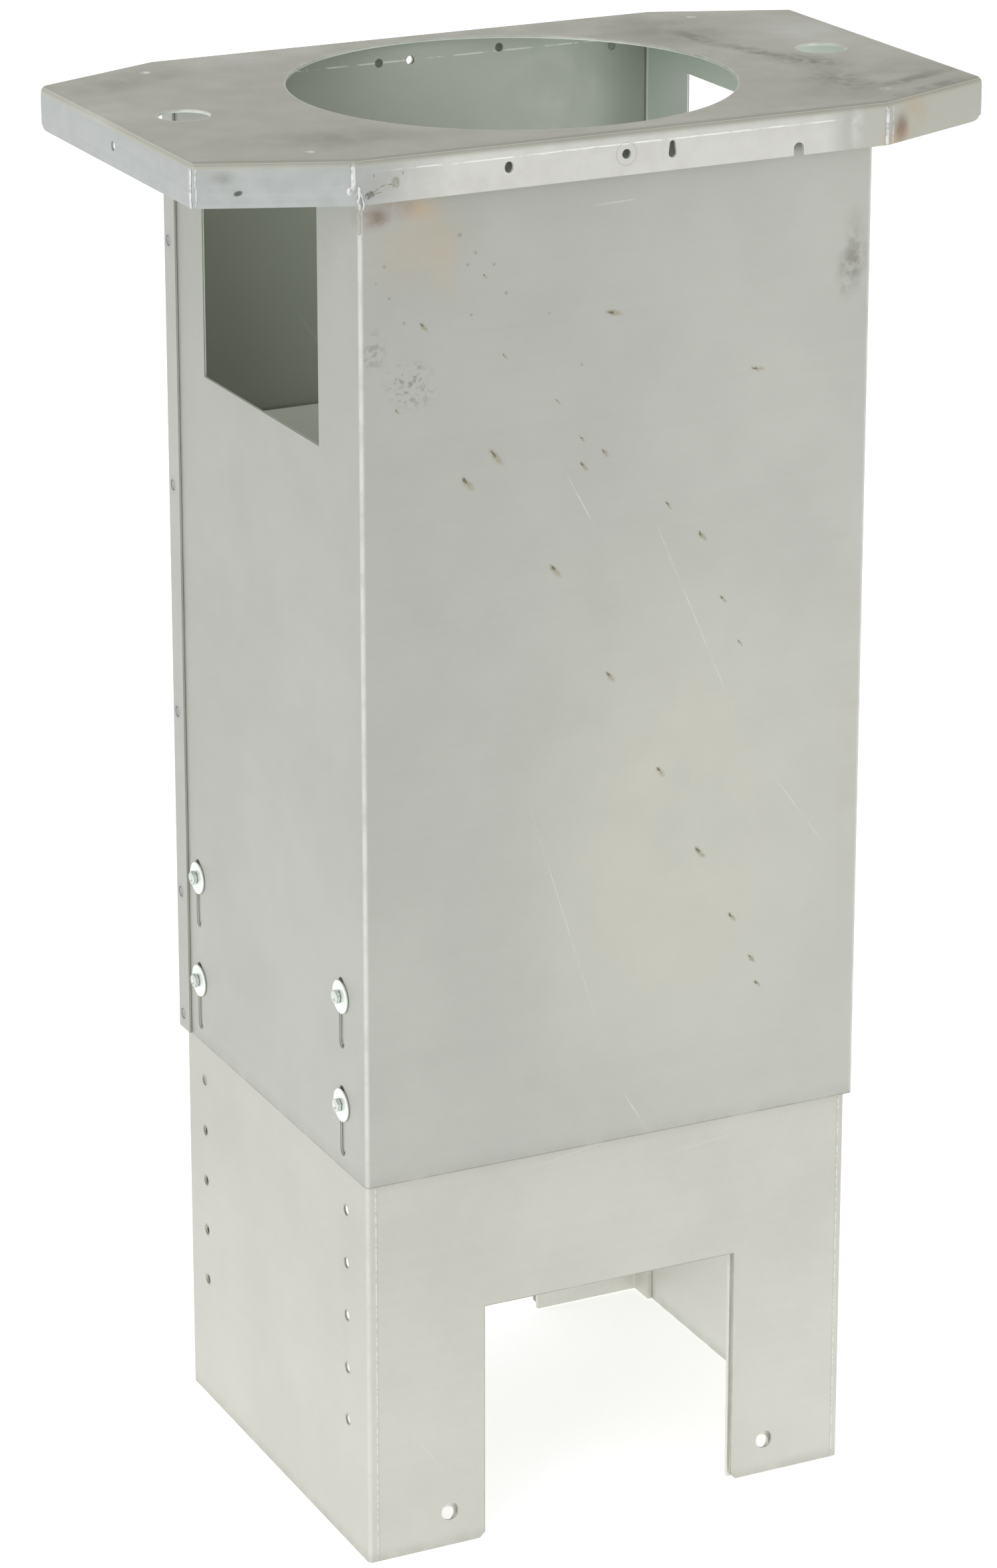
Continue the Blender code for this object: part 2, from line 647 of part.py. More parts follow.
def build_screws():
    """Eight screws with washers outside the shell and nuts inside the sleeve."""
    washer_x = SHELL_W / 2.0 + JOIN_GAP
    head_x = washer_x + WASHER_T + JOIN_GAP
    nut_x = SLEEVE_W / 2.0 - SHEET - JOIN_GAP - NUT_T
    for side_name, side in (("left", -1.0), ("right", 1.0)):
        turn = (0.0, side * math.pi / 2.0, 0.0)
        for end_name, y in (("front", -COLUMN_Y), ("rear", COLUMN_Y)):
            for row_name, z in (("lower", LOWER_SCREW_Z), ("upper", UPPER_SCREW_Z)):
                place = "_%s_%s_%s" % (side_name, end_name, row_name)
                for kind, mesh, x in (("screw", screw_mesh(), head_x), ("washer", washer_mesh(), washer_x),
                                      ("nut", nut_mesh(), nut_x)):
                    add_object(kind + place, mesh, zinc(kind + place + "_zinc"), None,
                               location=(side * x, y, z), rotation=turn)


def build():
    clear_scene()
    lift = add_empty("shell_lift", (0.0, 0.0, SHELL_Z))
    build_top_plate(lift)
    build_shell_front(lift)
    build_shell_rear(lift)
    build_sleeve()
    build_screws()


build()
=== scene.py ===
"""Looks for the telescoping sheet-steel riser housing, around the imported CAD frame."""

import math
import random

import bmesh
import bpy
from mathutils import Euler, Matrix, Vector


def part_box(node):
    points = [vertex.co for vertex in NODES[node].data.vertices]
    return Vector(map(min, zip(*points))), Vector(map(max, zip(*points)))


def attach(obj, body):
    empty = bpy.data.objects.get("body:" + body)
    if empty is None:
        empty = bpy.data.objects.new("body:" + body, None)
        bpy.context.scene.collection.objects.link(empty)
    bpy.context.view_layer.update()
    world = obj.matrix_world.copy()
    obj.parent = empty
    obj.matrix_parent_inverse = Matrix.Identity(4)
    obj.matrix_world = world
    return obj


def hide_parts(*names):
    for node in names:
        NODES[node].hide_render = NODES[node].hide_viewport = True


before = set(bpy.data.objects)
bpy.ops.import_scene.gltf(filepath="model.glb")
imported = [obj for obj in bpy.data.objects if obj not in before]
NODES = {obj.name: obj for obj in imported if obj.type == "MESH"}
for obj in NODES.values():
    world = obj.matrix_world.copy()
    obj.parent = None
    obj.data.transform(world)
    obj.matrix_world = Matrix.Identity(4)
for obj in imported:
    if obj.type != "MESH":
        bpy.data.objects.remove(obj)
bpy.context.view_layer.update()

PLATE_LO, PLATE_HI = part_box("top_plate")
SHELL_LO, SHELL_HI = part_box("shell_front")
SLEEVE_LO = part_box("sleeve_front_left")[0]


def middle(node):
    low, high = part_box(node)
    return (low + high) / 2.0


# ---------------- sizes that follow the CAD (metres)
PLATE_TOP, LIP_BOTTOM = PLATE_HI.z, PLATE_LO.z
PLATE_X, PLATE_Y = PLATE_HI.x, PLATE_HI.y
PLATE_BEND, PLATE_SHEET = 0.0042, 0.0019
SHELL_X, SHELL_Y = -SHELL_LO.x, -SHELL_LO.y
REAR_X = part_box("shell_rear")[1].x
CUT_X, CUT_Y = 0.0932, 0.0386
OPENING_R = 0.1472
WING_HOLE_X, WING_HOLE_R = PLATE_X - 0.0486, 0.0168
LIP_HOLE_R = 0.0031
LIP_HOLE_DROP, ROUND_HOLE_X = 0.015, -0.0019
LIP_HOLE_REACH = (0.0055, 0.01)
SMALL_HOLE_X, SMALL_HOLE_Y, SMALL_HOLE_R = PLATE_X - 0.0764, PLATE_Y - 0.0339, 0.003
SLEEVE_X, SLEEVE_Y = -SLEEVE_LO.x, -SLEEVE_LO.y
HOLE_PITCH = 0.0381
SLEEVE_HOLE_Z = 0.0915
CUTOUT_X, CUTOUT_Z = SLEEVE_X - 0.0858, 0.1705
COLUMN_Y = SLEEVE_Y - 0.0324
PLUG_Y = middle("seam_plug_left_1").y
PLUG_Z = [middle("seam_plug_left_%d" % i).z for i in range(1, 6)]
SCREW_R, HEAD_H, HEAD_AF = 0.003175, 0.003, 0.0084
WASHER_R, NUT_AF = 0.0113, 0.0111

# ---------------- colours (linear)
STEEL = (0.384, 0.39, 0.354)
SLEEVE_STEEL = (0.5, 0.497, 0.45)
PLATE_STEEL = (0.38, 0.376, 0.314)
LIP_STEEL = (0.47, 0.465, 0.433)
DIRT_AND_SHADE = (0.15, 0.145, 0.125)
SOOT_AND_SHADE = (0.09, 0.088, 0.08)
RUST = (0.105, 0.088, 0.052)
STRAW = (0.4, 0.33, 0.215)
BURN = (0.15, 0.095, 0.06)
BLUE = (0.3, 0.315, 0.35)
BRIGHT = (0.72, 0.725, 0.7)
RAW_EDGE_HIGHLIGHT = (0.9, 0.92, 0.9)
ZINC = (0.8, 0.82, 0.79)
ZINC_SCREW = (0.64, 0.65, 0.625)
WELD = (0.33, 0.33, 0.312)
WELD_PALE = (0.6, 0.605, 0.595)
INNER_LIT = (0.66, 0.725, 0.655)
REAR_INNER_LIT = (0.455, 0.485, 0.425)
REAR_INNER_SHADE = (0.32, 0.333, 0.278)
SLEEVE_INNER_LIT = (0.8, 0.8, 0.745)
WARM_TINT_AND_LIGHT = (0.485, 0.475, 0.385)
MAUVE = (0.27, 0.225, 0.185)
PALE = (0.56, 0.56, 0.53)
LIP_GREY = (0.335, 0.353, 0.342)
LIP_WARM = (0.395, 0.395, 0.34)
OLIVE = (0.215, 0.212, 0.155)
SMEAR = (0.105, 0.098, 0.068)
SMEAR_WIDE = (0.15, 0.143, 0.1)
ORANGE = (0.43, 0.3, 0.18)
LIP_PALE = (0.39, 0.408, 0.398)
LIP_BRIGHT = (0.53, 0.528, 0.492)
RUST_PALE = (0.3, 0.255, 0.17)
SPECK_HALO = (0.25, 0.228, 0.135)
EDGE_SHADE = (0.21, 0.19, 0.145)
TACK = (0.34, 0.34, 0.315)
WELD_SCALE = (0.2, 0.205, 0.17)
NUGGET = (0.3, 0.31, 0.29)


# ---------------- node graphs
BREAKUP_DETAIL, BREAKUP_ROUGHNESS = 5.0, 0.62
# A stain broken up at this scale is a cluster of speckles.
SPECKLED = 240.0


class Graph:
    """A Principled material, with helpers that take numbers or sockets alike."""

    def __init__(self, name):
        self.material = bpy.data.materials.new(name)
        self.material.use_nodes = True
        self.nodes = self.material.node_tree.nodes
        self.links = self.material.node_tree.links
        self.shader = self.nodes["Principled BSDF"]
        self.coords = self.nodes.new("ShaderNodeTexCoord").outputs["Object"]
        self.x, self.y, self.z = self.node("SeparateXYZ", {0: self.coords})
        self.noises = {}
        self.colour = None

    def plug(self, value, socket):
        if isinstance(value, bpy.types.NodeSocket):
            self.links.new(value, socket)
        else:
            socket.default_value = value

    def node(self, kind, inputs, **settings):
        """Add a node, with its settings and then its inputs, and return its outputs."""
        node = self.nodes.new("ShaderNode" + kind)
        for name, value in settings.items():
            setattr(node, name, value)
        for name, value in inputs.items():
            self.plug(value, node.inputs[name])
        return node.outputs

    def math(self, operation, a, b=0.0, clamp=False):
        return self.node("Math", {0: a, 1: b}, operation=operation, use_clamp=clamp)[0]

    def times(self, product, *others):
        """The product of masks and strengths, kept within 0 and 1."""
        for value in others:
            product = self.math("MULTIPLY", product, value, clamp=True)
        return product

    def total(self, value, *others):
        for other in others:
            value = self.math("ADD", value, other)
        return value

    def away(self, value, level=0.0):
        """How far a value is from a level, either way."""
        return self.math("ABSOLUTE", self.math("SUBTRACT", value, level))

    def vector(self, operation, a, b, c=(0.0, 0.0, 0.0)):
        outputs = self.node("VectorMath", {0: a, 1: b, 2: c}, operation=operation)
        return outputs["Value" if operation == "DISTANCE" else "Vector"]

    def nearest(self, spots, coords=None):
        """The least distance to any spot, a place and the radius that its distance is divided by."""
        least = None
        for place, radius in spots:
            reach = self.vector("DISTANCE", coords or self.coords, tuple(place))
            if radius != 1.0:
                reach = self.math("DIVIDE", reach, radius)
            least = reach if least is None else self.math("MINIMUM", least, reach)
        return least

    def mapped(self, scale, place=(0.0, 0.0, 0.0), turn=(0.0, 0.0, 0.0), kind="POINT", coords=None):
        inputs = {"Vector": coords or self.coords, "Location": place, "Rotation": turn, "Scale": scale}
        return self.node("Mapping", inputs, vector_type=kind)[0]

    def noise(self, scale, detail=3.0, roughness=0.55, stretch=(1.0, 1.0, 1.0), shift=None):
        """Noise in object space. The same settings give the same node."""
        key = (scale, detail, roughness, stretch, shift)
        if key not in self.noises:
            plain = stretch == (1.0, 1.0, 1.0) and shift is None
            vector = self.coords if plain else self.mapped(stretch, shift or (0.0, 0.0, 0.0))
            inputs = {"Vector": vector, "Scale": scale, "Detail": detail, "Roughness": roughness}
            self.noises[key] = self.node("TexNoise", inputs)[0]
        return self.noises[key]

    def span(self, value, low, high, to_low=0.0, to_high=1.0, kind="SMOOTHSTEP"):
        inputs = {"Value": value, "From Min": low, "From Max": high, "To Min": to_low, "To Max": to_high}
        return self.node("MapRange", inputs, interpolation_type=kind)["Result"]

    def below(self, value, low, high):
        """1 up to low, falling to 0 at high."""
        return self.span(value, low, high, 1.0, 0.0)

    def band(self, value, middle, half, soft):
        """1 within half of a level, falling to 0 over soft on each side."""
        return self.below(self.away(value, middle), half, half + soft)

    def breakup_patches(self, low, high, to_low=0.0, to_high=1.0):
        """Patches that break up rubbed and dirty places, and painted highlights and painted shade."""
        return self.span(self.noise(60.0, BREAKUP_DETAIL, BREAKUP_ROUGHNESS), low, high, to_low, to_high)

    def spot(self, place, radii, turn=(0.0, 0.0, 0.0)):
        """1 at a place, falling to 0 on an ellipsoid round it."""
        inputs = {"Vector": self.mapped(radii, place, turn, "TEXTURE")}
        return self.node("TexGradient", inputs, gradient_type="SPHERICAL")[1]

    def line(self, a, b, width):
        """A thin scratch between two points on a face across Y."""
        along = Vector(b) - Vector(a)
        turn = (0.0, -math.atan2(along.z, along.x), 0.0)
        middle = Vector(a) + along / 2.0
        return self.span(self.spot(middle, (along.length / 2.0, 0.01, width), turn), 0.0, 0.5)

    def mix(self, factor, a, b):
        a, b = [c if isinstance(c, bpy.types.NodeSocket) else (*c, 1.0) for c in (a, b)]
        return self.node("Mix", {0: factor, 6: a, 7: b}, data_type="RGBA")[2]

    def paint(self, tint, *masks):
        """Lay a tint over the colour so far, as strongly as the masks' product."""
        self.colour = self.mix(self.times(*masks), self.colour, tint)

    def stain(self, tint, place, radii, strength, turn, breakup, edge=0.9, across="Y"):
        """A stain broken up by noise, turned by degrees about the axis across its face."""
        turns = tuple(math.radians(turn) if name == across else 0.0 for name in "XYZ")
        ragged = self.noise(breakup, BREAKUP_DETAIL, BREAKUP_ROUGHNESS)
        low, high = (0.5, 0.6) if breakup == SPECKLED else (0.3, 0.62)
        mask = self.span(self.spot(place, radii, turns), 0.0, edge)
        self.paint(tint, mask, self.span(ragged, low, high), strength)

    def bump(self, height, strength):
        inputs = {"Height": height, "Strength": strength, "Distance": 0.0001}
        self.plug(self.node("Bump", inputs)[0], self.shader.inputs["Normal"])

    def done(self):
        self.plug(self.colour, self.shader.inputs["Base Color"])
        return self.material


def galvanneal(name, base, roughness=0.46, streaks=(2.0, 2.0, 260.0), metallic=0.35, painted_light_fade=None):
    """Matte zinc-iron coated sheet: fine grain, faint rolling streaks and slow mottling.
    The last argument is a height range, and how much tone changes up it and from left to right: painted
    light, lighter towards the bottom and towards the right."""
    graph = Graph(name)
    graph.cloud = graph.noise(46.0, 4.0, 0.65, shift=(3.0, 1.0, 2.0))
    rolled = graph.noise(1.0, 3.0, 0.6, stretch=streaks)
    grain = graph.noise(1500.0, 2.0, 0.7)
    layers = ((graph.noise(9.0, 4.0, 0.6), 0.035), (graph.cloud, 0.018), (rolled, 0.007), (grain, 0.03))
    tone = graph.total(*[graph.span(noise, 0.3, 0.7, -swing, swing) for noise, swing in layers])
    # painted light: lighter towards the bottom and the right
    if painted_light_fade:
        low, high, up, right = painted_light_fade
        tone = graph.total(tone, graph.span(graph.z, low, high, up, -up),
                           graph.span(graph.x, -SHELL_X, SHELL_X, -right, right))
    light, dark = (tuple(c * share for c in base) for share in (1.25, 0.75))
    graph.colour = graph.mix(graph.span(tone, -0.25, 0.25, kind="LINEAR"), dark, light)
    rough = graph.total(graph.span(graph.cloud, 0.3, 0.7, -0.05, 0.05), roughness,
                        graph.span(grain, 0.3, 0.7, -0.03, 0.03))
    graph.plug(rough, graph.shader.inputs["Roughness"])
    graph.shader.inputs["Metallic"].default_value = metallic
    waves = ((grain, 0.35), (rolled, 0.06), (graph.noise(5.0, 1.0, 0.5), 12.0))
    graph.bump(graph.total(*[graph.math("MULTIPLY", noise, height) for noise, height in waves]), 0.5)
    return graph


def on_front(u, w):
    """A place on the shell's front wall: u right of its left edge, w below its top."""
    return Vector((SHELL_LO.x + u, SHELL_LO.y, SHELL_HI.z - w))


def on_plate(x, y):
    return Vector((x, y, PLATE_TOP))


def on_lip(x, drop):
    """A place on the front lip, drop below the plate's top face."""
    return Vector((x, -PLATE_Y, PLATE_TOP - drop))


def on_cut(side, along, drop):
    """A place on a front corner's lip, along from the front lip's end."""
    start = Vector((side * (PLATE_X - CUT_X), -PLATE_Y, PLATE_TOP - drop))
    return start + Vector((side * CUT_X, CUT_Y, 0.0)).normalized() * along


FLECK_SHAPE = 0.34
# Marks on the front wall, by slant in degrees: right of the left edge, below the top, half length in mm.
SPECKS = {
    12: ((0.177, 0.117, 7.0), (0.281, 0.166, 6.0)),
    50: ((0.044, 0.111, 5.0), (0.1, 0.136, 3.0), (0.026, 0.163, 3.0), (0.094, 0.201, 8.0),
         (0.074, 0.216, 7.0), (0.155, 0.197, 3.0), (0.171, 0.208, 4.5), (0.156, 0.215, 5.0),
         (0.217, 0.249, 4.0), (0.242, 0.273, 5.5), (0.136, 0.282, 7.0), (0.258, 0.318, 4.0),
         (0.176, 0.359, 5.5), (0.213, 0.43, 5.5), (0.243, 0.491, 6.5), (0.268, 0.541, 5.0),
         (0.283, 0.573, 5.0), (0.288, 0.592, 4.0), (0.086, 0.083, 2.2), (0.137, 0.17, 2.6),
         (0.271, 0.35, 3.2)),
}
# Scratches on the front wall: both ends, width and strength.
SCRATCHES = (
    (0.113, 0.423, 0.173, 0.614, 0.0006, 0.22), (0.142, 0.216, 0.165, 0.258, 0.0005, 0.45),
    (0.199, 0.239, 0.273, 0.41, 0.0005, 0.3), (0.294, 0.441, 0.343, 0.509, 0.0005, 0.3),
    (0.185, 0.647, 0.209, 0.687, 0.0006, 0.35), (0.159, 0.046, 0.194, 0.045, 0.0006, 0.4),
)
# Stains reach this far to either side of the face that they are on.
STAIN_DEPTH, THIN_DEPTH = 0.02, 0.0013
# Stains on the front wall: tint, right of the left edge, below the top, radii, strength, turn, breakup, edge.
FRONT_STAINS = (
    # The entry below is a broad, lighter, warmer patch towards the lower right: painted light with a warm
    # tint.
    (WARM_TINT_AND_LIGHT, 0.22, 0.48, (0.15, 0.26), 0.5, 0, 8.0),
    (STRAW, 0.04, 0.058, (0.046, 0.04), 0.38, -20, 8.0),
    (STRAW, 0.056, 0.068, (0.015, 0.038), 0.45, -14, 22.0),
    (ORANGE, 0.038, 0.034, (0.024, 0.012), 0.55, 8, 22.0),
    (MAUVE, 0.025, 0.033, (0.018, 0.011), 0.9, 4, 22.0, 0.75),
    (MAUVE, 0.01, 0.038, (0.019, 0.012), 0.85, 0, 22.0, 0.8),
    (BURN, 0.011, 0.038, (0.013, 0.008), 0.65, 0, 60.0, 0.8),
    (DIRT_AND_SHADE, 0.349, 0.104, (0.014, 0.03), 0.7, 12, 130.0),
    (OLIVE, 0.35, 0.08, (0.01, 0.02), 0.25, 0, 130.0),
    (DIRT_AND_SHADE, 0.009, 0.122, (0.012, 0.018), 0.4, 0, SPECKLED, 0.8),
    (DIRT_AND_SHADE, 0.035, 0.147, (0.024, 0.019), 0.6, 20, SPECKLED, 0.8),
    (STRAW, 0.352, 0.42, (0.012, 0.2), 0.22, 0, 22.0),
    # The entry below darkens the wall seen through the front lip's notch: painted shade.
    (OLIVE, 0.3026, 0.021, (0.008, 0.01), 0.55, 0, 60.0),
)
# Faint round dots on the front wall: right of the left edge, below the top, radius.
DOTS = (
    (0.0797, 0.0671, 0.0014), (0.0688, 0.0548, 0.0018), (0.0742, 0.0743, 0.0013), (0.1008, 0.0953, 0.0016),
    (0.0766, 0.1066, 0.0013), (0.0305, 0.1066, 0.0014), (0.0203, 0.0898, 0.0012), (0.0172, 0.0693, 0.0014),
    (0.0406, 0.1359, 0.0016), (0.0925, 0.076, 0.0012), (0.131, 0.112, 0.001), (0.154, 0.148, 0.0011),
)
# Fine cracks in the scale on the front lip: ends as x and drop below the plate's top face.
LIP_CUTS = (
    ((-0.176, 0.0216), (-0.1718, 0.0184)), ((-0.1722, 0.0186), (-0.1668, 0.017)),
    ((-0.1672, 0.017), (-0.162, 0.0176)), ((-0.1765, 0.0224), (-0.169, 0.0214)),
    ((-0.1756, 0.0092), (-0.1752, 0.0125)), ((-0.1557, 0.0096), (-0.1559, 0.0124)),
)
# Weld heat and soot on the lips: tint, face and place on it, radii, strength, turn, breakup, edge.
LIP_STAINS = (
    (MAUVE, on_lip, (-0.17, 0.014), (0.03, 0.006, 0.02), 0.35, 0, 22.0),
    (SOOT_AND_SHADE, on_lip, (-0.1782, 0.0226), (0.0042, 0.004, 0.003), 1.0, -20, 650.0, 0.5),
    (OLIVE, on_lip, (-0.1608, 0.0165), (0.004, 0.004, 0.0052), 0.85, 0, 650.0, 0.6),
    (PALE, on_lip, (0.163, 0.015), (0.0075, 0.004, 0.018), 0.8, 0, 60.0),
    (STRAW, on_cut, (1.0, 0.026, 0.014), (0.02, 0.02, 0.022), 0.75, 0, 22.0),
    (ORANGE, on_cut, (1.0, 0.009, 0.026), (0.02, 0.02, 0.01), 0.95, 0, 8.0),
    (BURN, on_cut, (1.0, 0.0125, 0.02), (0.011, 0.02, 0.015), 0.9, 0, 8.0),
    (DIRT_AND_SHADE, on_cut, (-1.0, 0.082, 0.01), (0.01, 0.02, 0.006), 0.4, 0, 60.0),
    (SOOT_AND_SHADE, on_cut, (-1.0, 0.0725, 0.0195), (0.0034, 0.02, 0.002), 1.0, -20, 8.0, 0.5),
)
# Smears on the plate's top face: tint, x, y, radii, strength, turn, breakup.
PLATE_STAINS = (
    (OLIVE, 0.168, 0.1, (0.07, 0.085), 0.75, 6, 8.0),
    (OLIVE, 0.218, -0.1, (0.1, 0.062), 0.8, 18, 8.0),
    (SMEAR, 0.172, 0.066, (0.012, 0.05), 0.9, 4, 60.0),
    (SMEAR, 0.187, 0.01, (0.012, 0.044), 1.0, 14, 60.0),
    (SMEAR_WIDE, 0.203, -0.03, (0.026, 0.044), 0.85, 22, 130.0),
    (SMEAR_WIDE, 0.192, -0.095, (0.026, 0.05), 0.75, -6, 130.0),
    (SMEAR, 0.24, -0.11, (0.058, 0.01), 0.75, 22, 60.0),
    (SMEAR, 0.236, -0.137, (0.064, 0.008), 0.7, 22, 60.0),
    (DIRT_AND_SHADE, -0.225, 0.108, (0.075, 0.03), 0.42, 22, 22.0),
    (DIRT_AND_SHADE, -0.176, -0.1, (0.085, 0.045), 0.5, -15, 22.0),
    (PALE, -0.285, 0.035, (0.05, 0.06), 0.45, 0, 22.0),
    (PALE, 0.25, 0.045, (0.04, 0.07), 0.6, 0, 8.0),
    (PALE, -0.12, 0.145, (0.09, 0.026), 0.45, 8, 22.0),
    (PALE, 0.05, -0.155, (0.14, 0.012), 0.3, 0, 22.0),
)
# Stains on the rear panel's outside: tint, x, z, radii, strength, turn, breakup.
REAR_STAINS = (
    (STRAW, 0.14, 0.9, (0.07, 0.05), 0.4, 20, 22.0),
    (STRAW, -0.15, 0.91, (0.05, 0.04), 0.4, -15, 22.0),
    (DIRT_AND_SHADE, 0.02, 0.55, (0.05, 0.09), 0.25, 30, 130.0),
)
# Scratches on the rear panel, with a strength, and on the sleeve's front: both ends as x and z.
REAR_SCRATCHES = (
    (-0.1, 0.8, 0.02, 0.62, 0.35), (0.06, 0.5, 0.12, 0.36, 0.4), (-0.05, 0.44, -0.11, 0.33, 0.3),
)
SLEEVE_SCRATCHES = (
    (-0.07, 0.262, 0.02, 0.276), (0.02, 0.252, 0.12, 0.262), (-0.155, 0.1, -0.12, 0.05),
)


def flecks(graph, marks, slant):
    """Small rust marks that share a slant. Each is (place, half length)."""
    wobble = graph.node("TexNoise", {"Vector": graph.coords, "Scale": 420.0, "Detail": 3.0})["Color"]
    bend = graph.vector("MULTIPLY_ADD", wobble, (0.003,) * 3, (-0.0015,) * 3)
    turn = Euler((0.0, math.radians(slant), 0.0))
    slim = graph.mapped((1.0, 1.0, FLECK_SHAPE), turn=turn, kind="TEXTURE",
                        coords=graph.vector("ADD", graph.coords, bend))
    bodies, heads = [], []
    for place, half in marks:
        x, y, z = turn.to_matrix().transposed() @ place
        bodies.append(((x, y, z / FLECK_SHAPE), half))
        heads.append(((x - half * 0.42, y, z / FLECK_SHAPE), half * 0.5))
    ragged = graph.noise(650.0, 3.0, 0.7)
    graph.paint(SPECK_HALO, graph.below(graph.nearest(bodies, slim), 0.3, 1.2),
                graph.span(ragged, 0.35, 0.6, 0.35, 0.85))
    graph.paint(RUST, graph.below(graph.nearest(heads, slim), 0.25, 1.05),
                graph.span(ragged, 0.25, 0.5, 0.55, 1.0))


def corner_lines(graph, half_x, half_y, strength=0.5):
    """A painted highlight along the vertical bends, broken into patches."""
    x, y = graph.away(graph.x), graph.away(graph.y)
    graph.paint(BRIGHT, graph.span(x, half_x - 0.0034, half_x - 0.0012),
                graph.span(y, half_y - 0.003, half_y - 0.001), strength, graph.breakup_patches(0.25, 0.6, 0.45))


def inside(graph, half_x, half_y, tint):
    """The inner faces, painted in a tint that stands in for the light and shade inside."""
    x, y = graph.away(graph.x), graph.away(graph.y)
    graph.paint(tint, graph.below(x, half_x - 0.001, half_x - 0.0008),
                graph.below(y, half_y - 0.001, half_y - 0.0008))


def edge_shadow(graph, z, reach, strength):
    """Painted shade that darkens towards an edge at height z, broken into patches."""
    near = graph.below(graph.away(graph.z, z), 0.0, reach)
    graph.paint(DIRT_AND_SHADE, near, strength, graph.breakup_patches(0.3, 0.62, 0.3))


def cut_line(graph, value, level, strength):
    """A thin, broken line of painted shade along a cut edge."""
    return graph.times(graph.band(value, level, 0.0005, 0.0004), strength, graph.breakup_patches(0.28, 0.6, 0.35))


def shell_front_material():
    # painted light: the front wall lighter towards the bottom and the right
    graph = galvanneal("galvanneal_shell_front", STEEL, painted_light_fade=(SHELL_LO.z, SHELL_HI.z, 0.075, 0.05))
    # painted light: the inner faces brighter than the outside
    inside(graph, SHELL_X, SHELL_Y, INNER_LIT)
    for tint, u, w, (half_u, half_w), *rest in FRONT_STAINS:
        graph.stain(tint, on_front(u, w), (half_u, STAIN_DEPTH, half_w), *rest)
    for slant, marks in SPECKS.items():
        flecks(graph, [(on_front(u, w), size * 0.001) for u, w, size in marks], slant)
    dots = graph.nearest([(on_front(u, w), radius) for u, w, radius in DOTS])
    graph.paint(DIRT_AND_SHADE, graph.span(dots, 0.35, 1.15, 0.45, 0.0))
    for u0, w0, u1, w1, width, strength in SCRATCHES:
        line = graph.line(on_front(u0, w0), on_front(u1, w1), width)
        graph.paint(BRIGHT, line, graph.breakup_patches(0.35, 0.6, 0.2), strength)
    corner_lines(graph, SHELL_X, SHELL_Y)
    # raw cut edges at the side walls' rear ends, as seen from inside: a bright band on the inner face, partly
    # bare metal and partly painted highlight
    graph.paint(RAW_EDGE_HIGHLIGHT, graph.span(graph.y, SHELL_HI.y - 0.0034, SHELL_HI.y - 0.0026),
                graph.span(graph.away(graph.x), SHELL_X - 0.0009, SHELL_X - 0.0011), 0.9)
    # painted shade darkening towards the bottom edge, and a thin line of painted shade along it
    edge_shadow(graph, SHELL_LO.z, 0.012, 0.16)
    graph.paint(EDGE_SHADE, cut_line(graph, graph.z, SHELL_LO.z, 0.6))
    return graph.done()


def shell_rear_material():
    graph = galvanneal("galvanneal_shell_rear", STEEL)
    # painted light and shade inside the rear panel: darker towards the left, lighter towards the right
    inner_light_and_shade = graph.mix(graph.span(graph.x, -0.15, 0.02), REAR_INNER_SHADE, REAR_INNER_LIT)
    inside(graph, SHELL_X, SHELL_Y, inner_light_and_shade)
    for tint, place_x, z, (half_x, half_z), *rest in REAR_STAINS:
        graph.stain(tint, (place_x, SHELL_Y, z), (half_x, THIN_DEPTH, half_z), *rest)
    for x0, z0, x1, z1, strength in REAR_SCRATCHES:
        graph.paint(BRIGHT, graph.line((x0, SHELL_Y, z0), (x1, SHELL_Y, z1), 0.0006), strength)
    corner_lines(graph, REAR_X, SHELL_Y)
    # press-brake line inside, below the plate
    graph.paint(BRIGHT, graph.band(graph.z, PLATE_TOP - 0.0148, 0.0003, 0.0004),
                graph.span(graph.y, SHELL_Y - 0.0009, SHELL_Y - 0.0011), graph.breakup_patches(0.4, 0.52))
    plugs = graph.nearest([((side * REAR_X, PLUG_Y, z), 1.0) for side in (-1.0, 1.0) for z in PLUG_Z])
    graph.paint(BLUE, graph.span(plugs, 0.0035, 0.0085, 0.45, 0.0),
                graph.span(graph.away(graph.x), SHELL_X, SHELL_X + 0.0003))
    return graph.done()


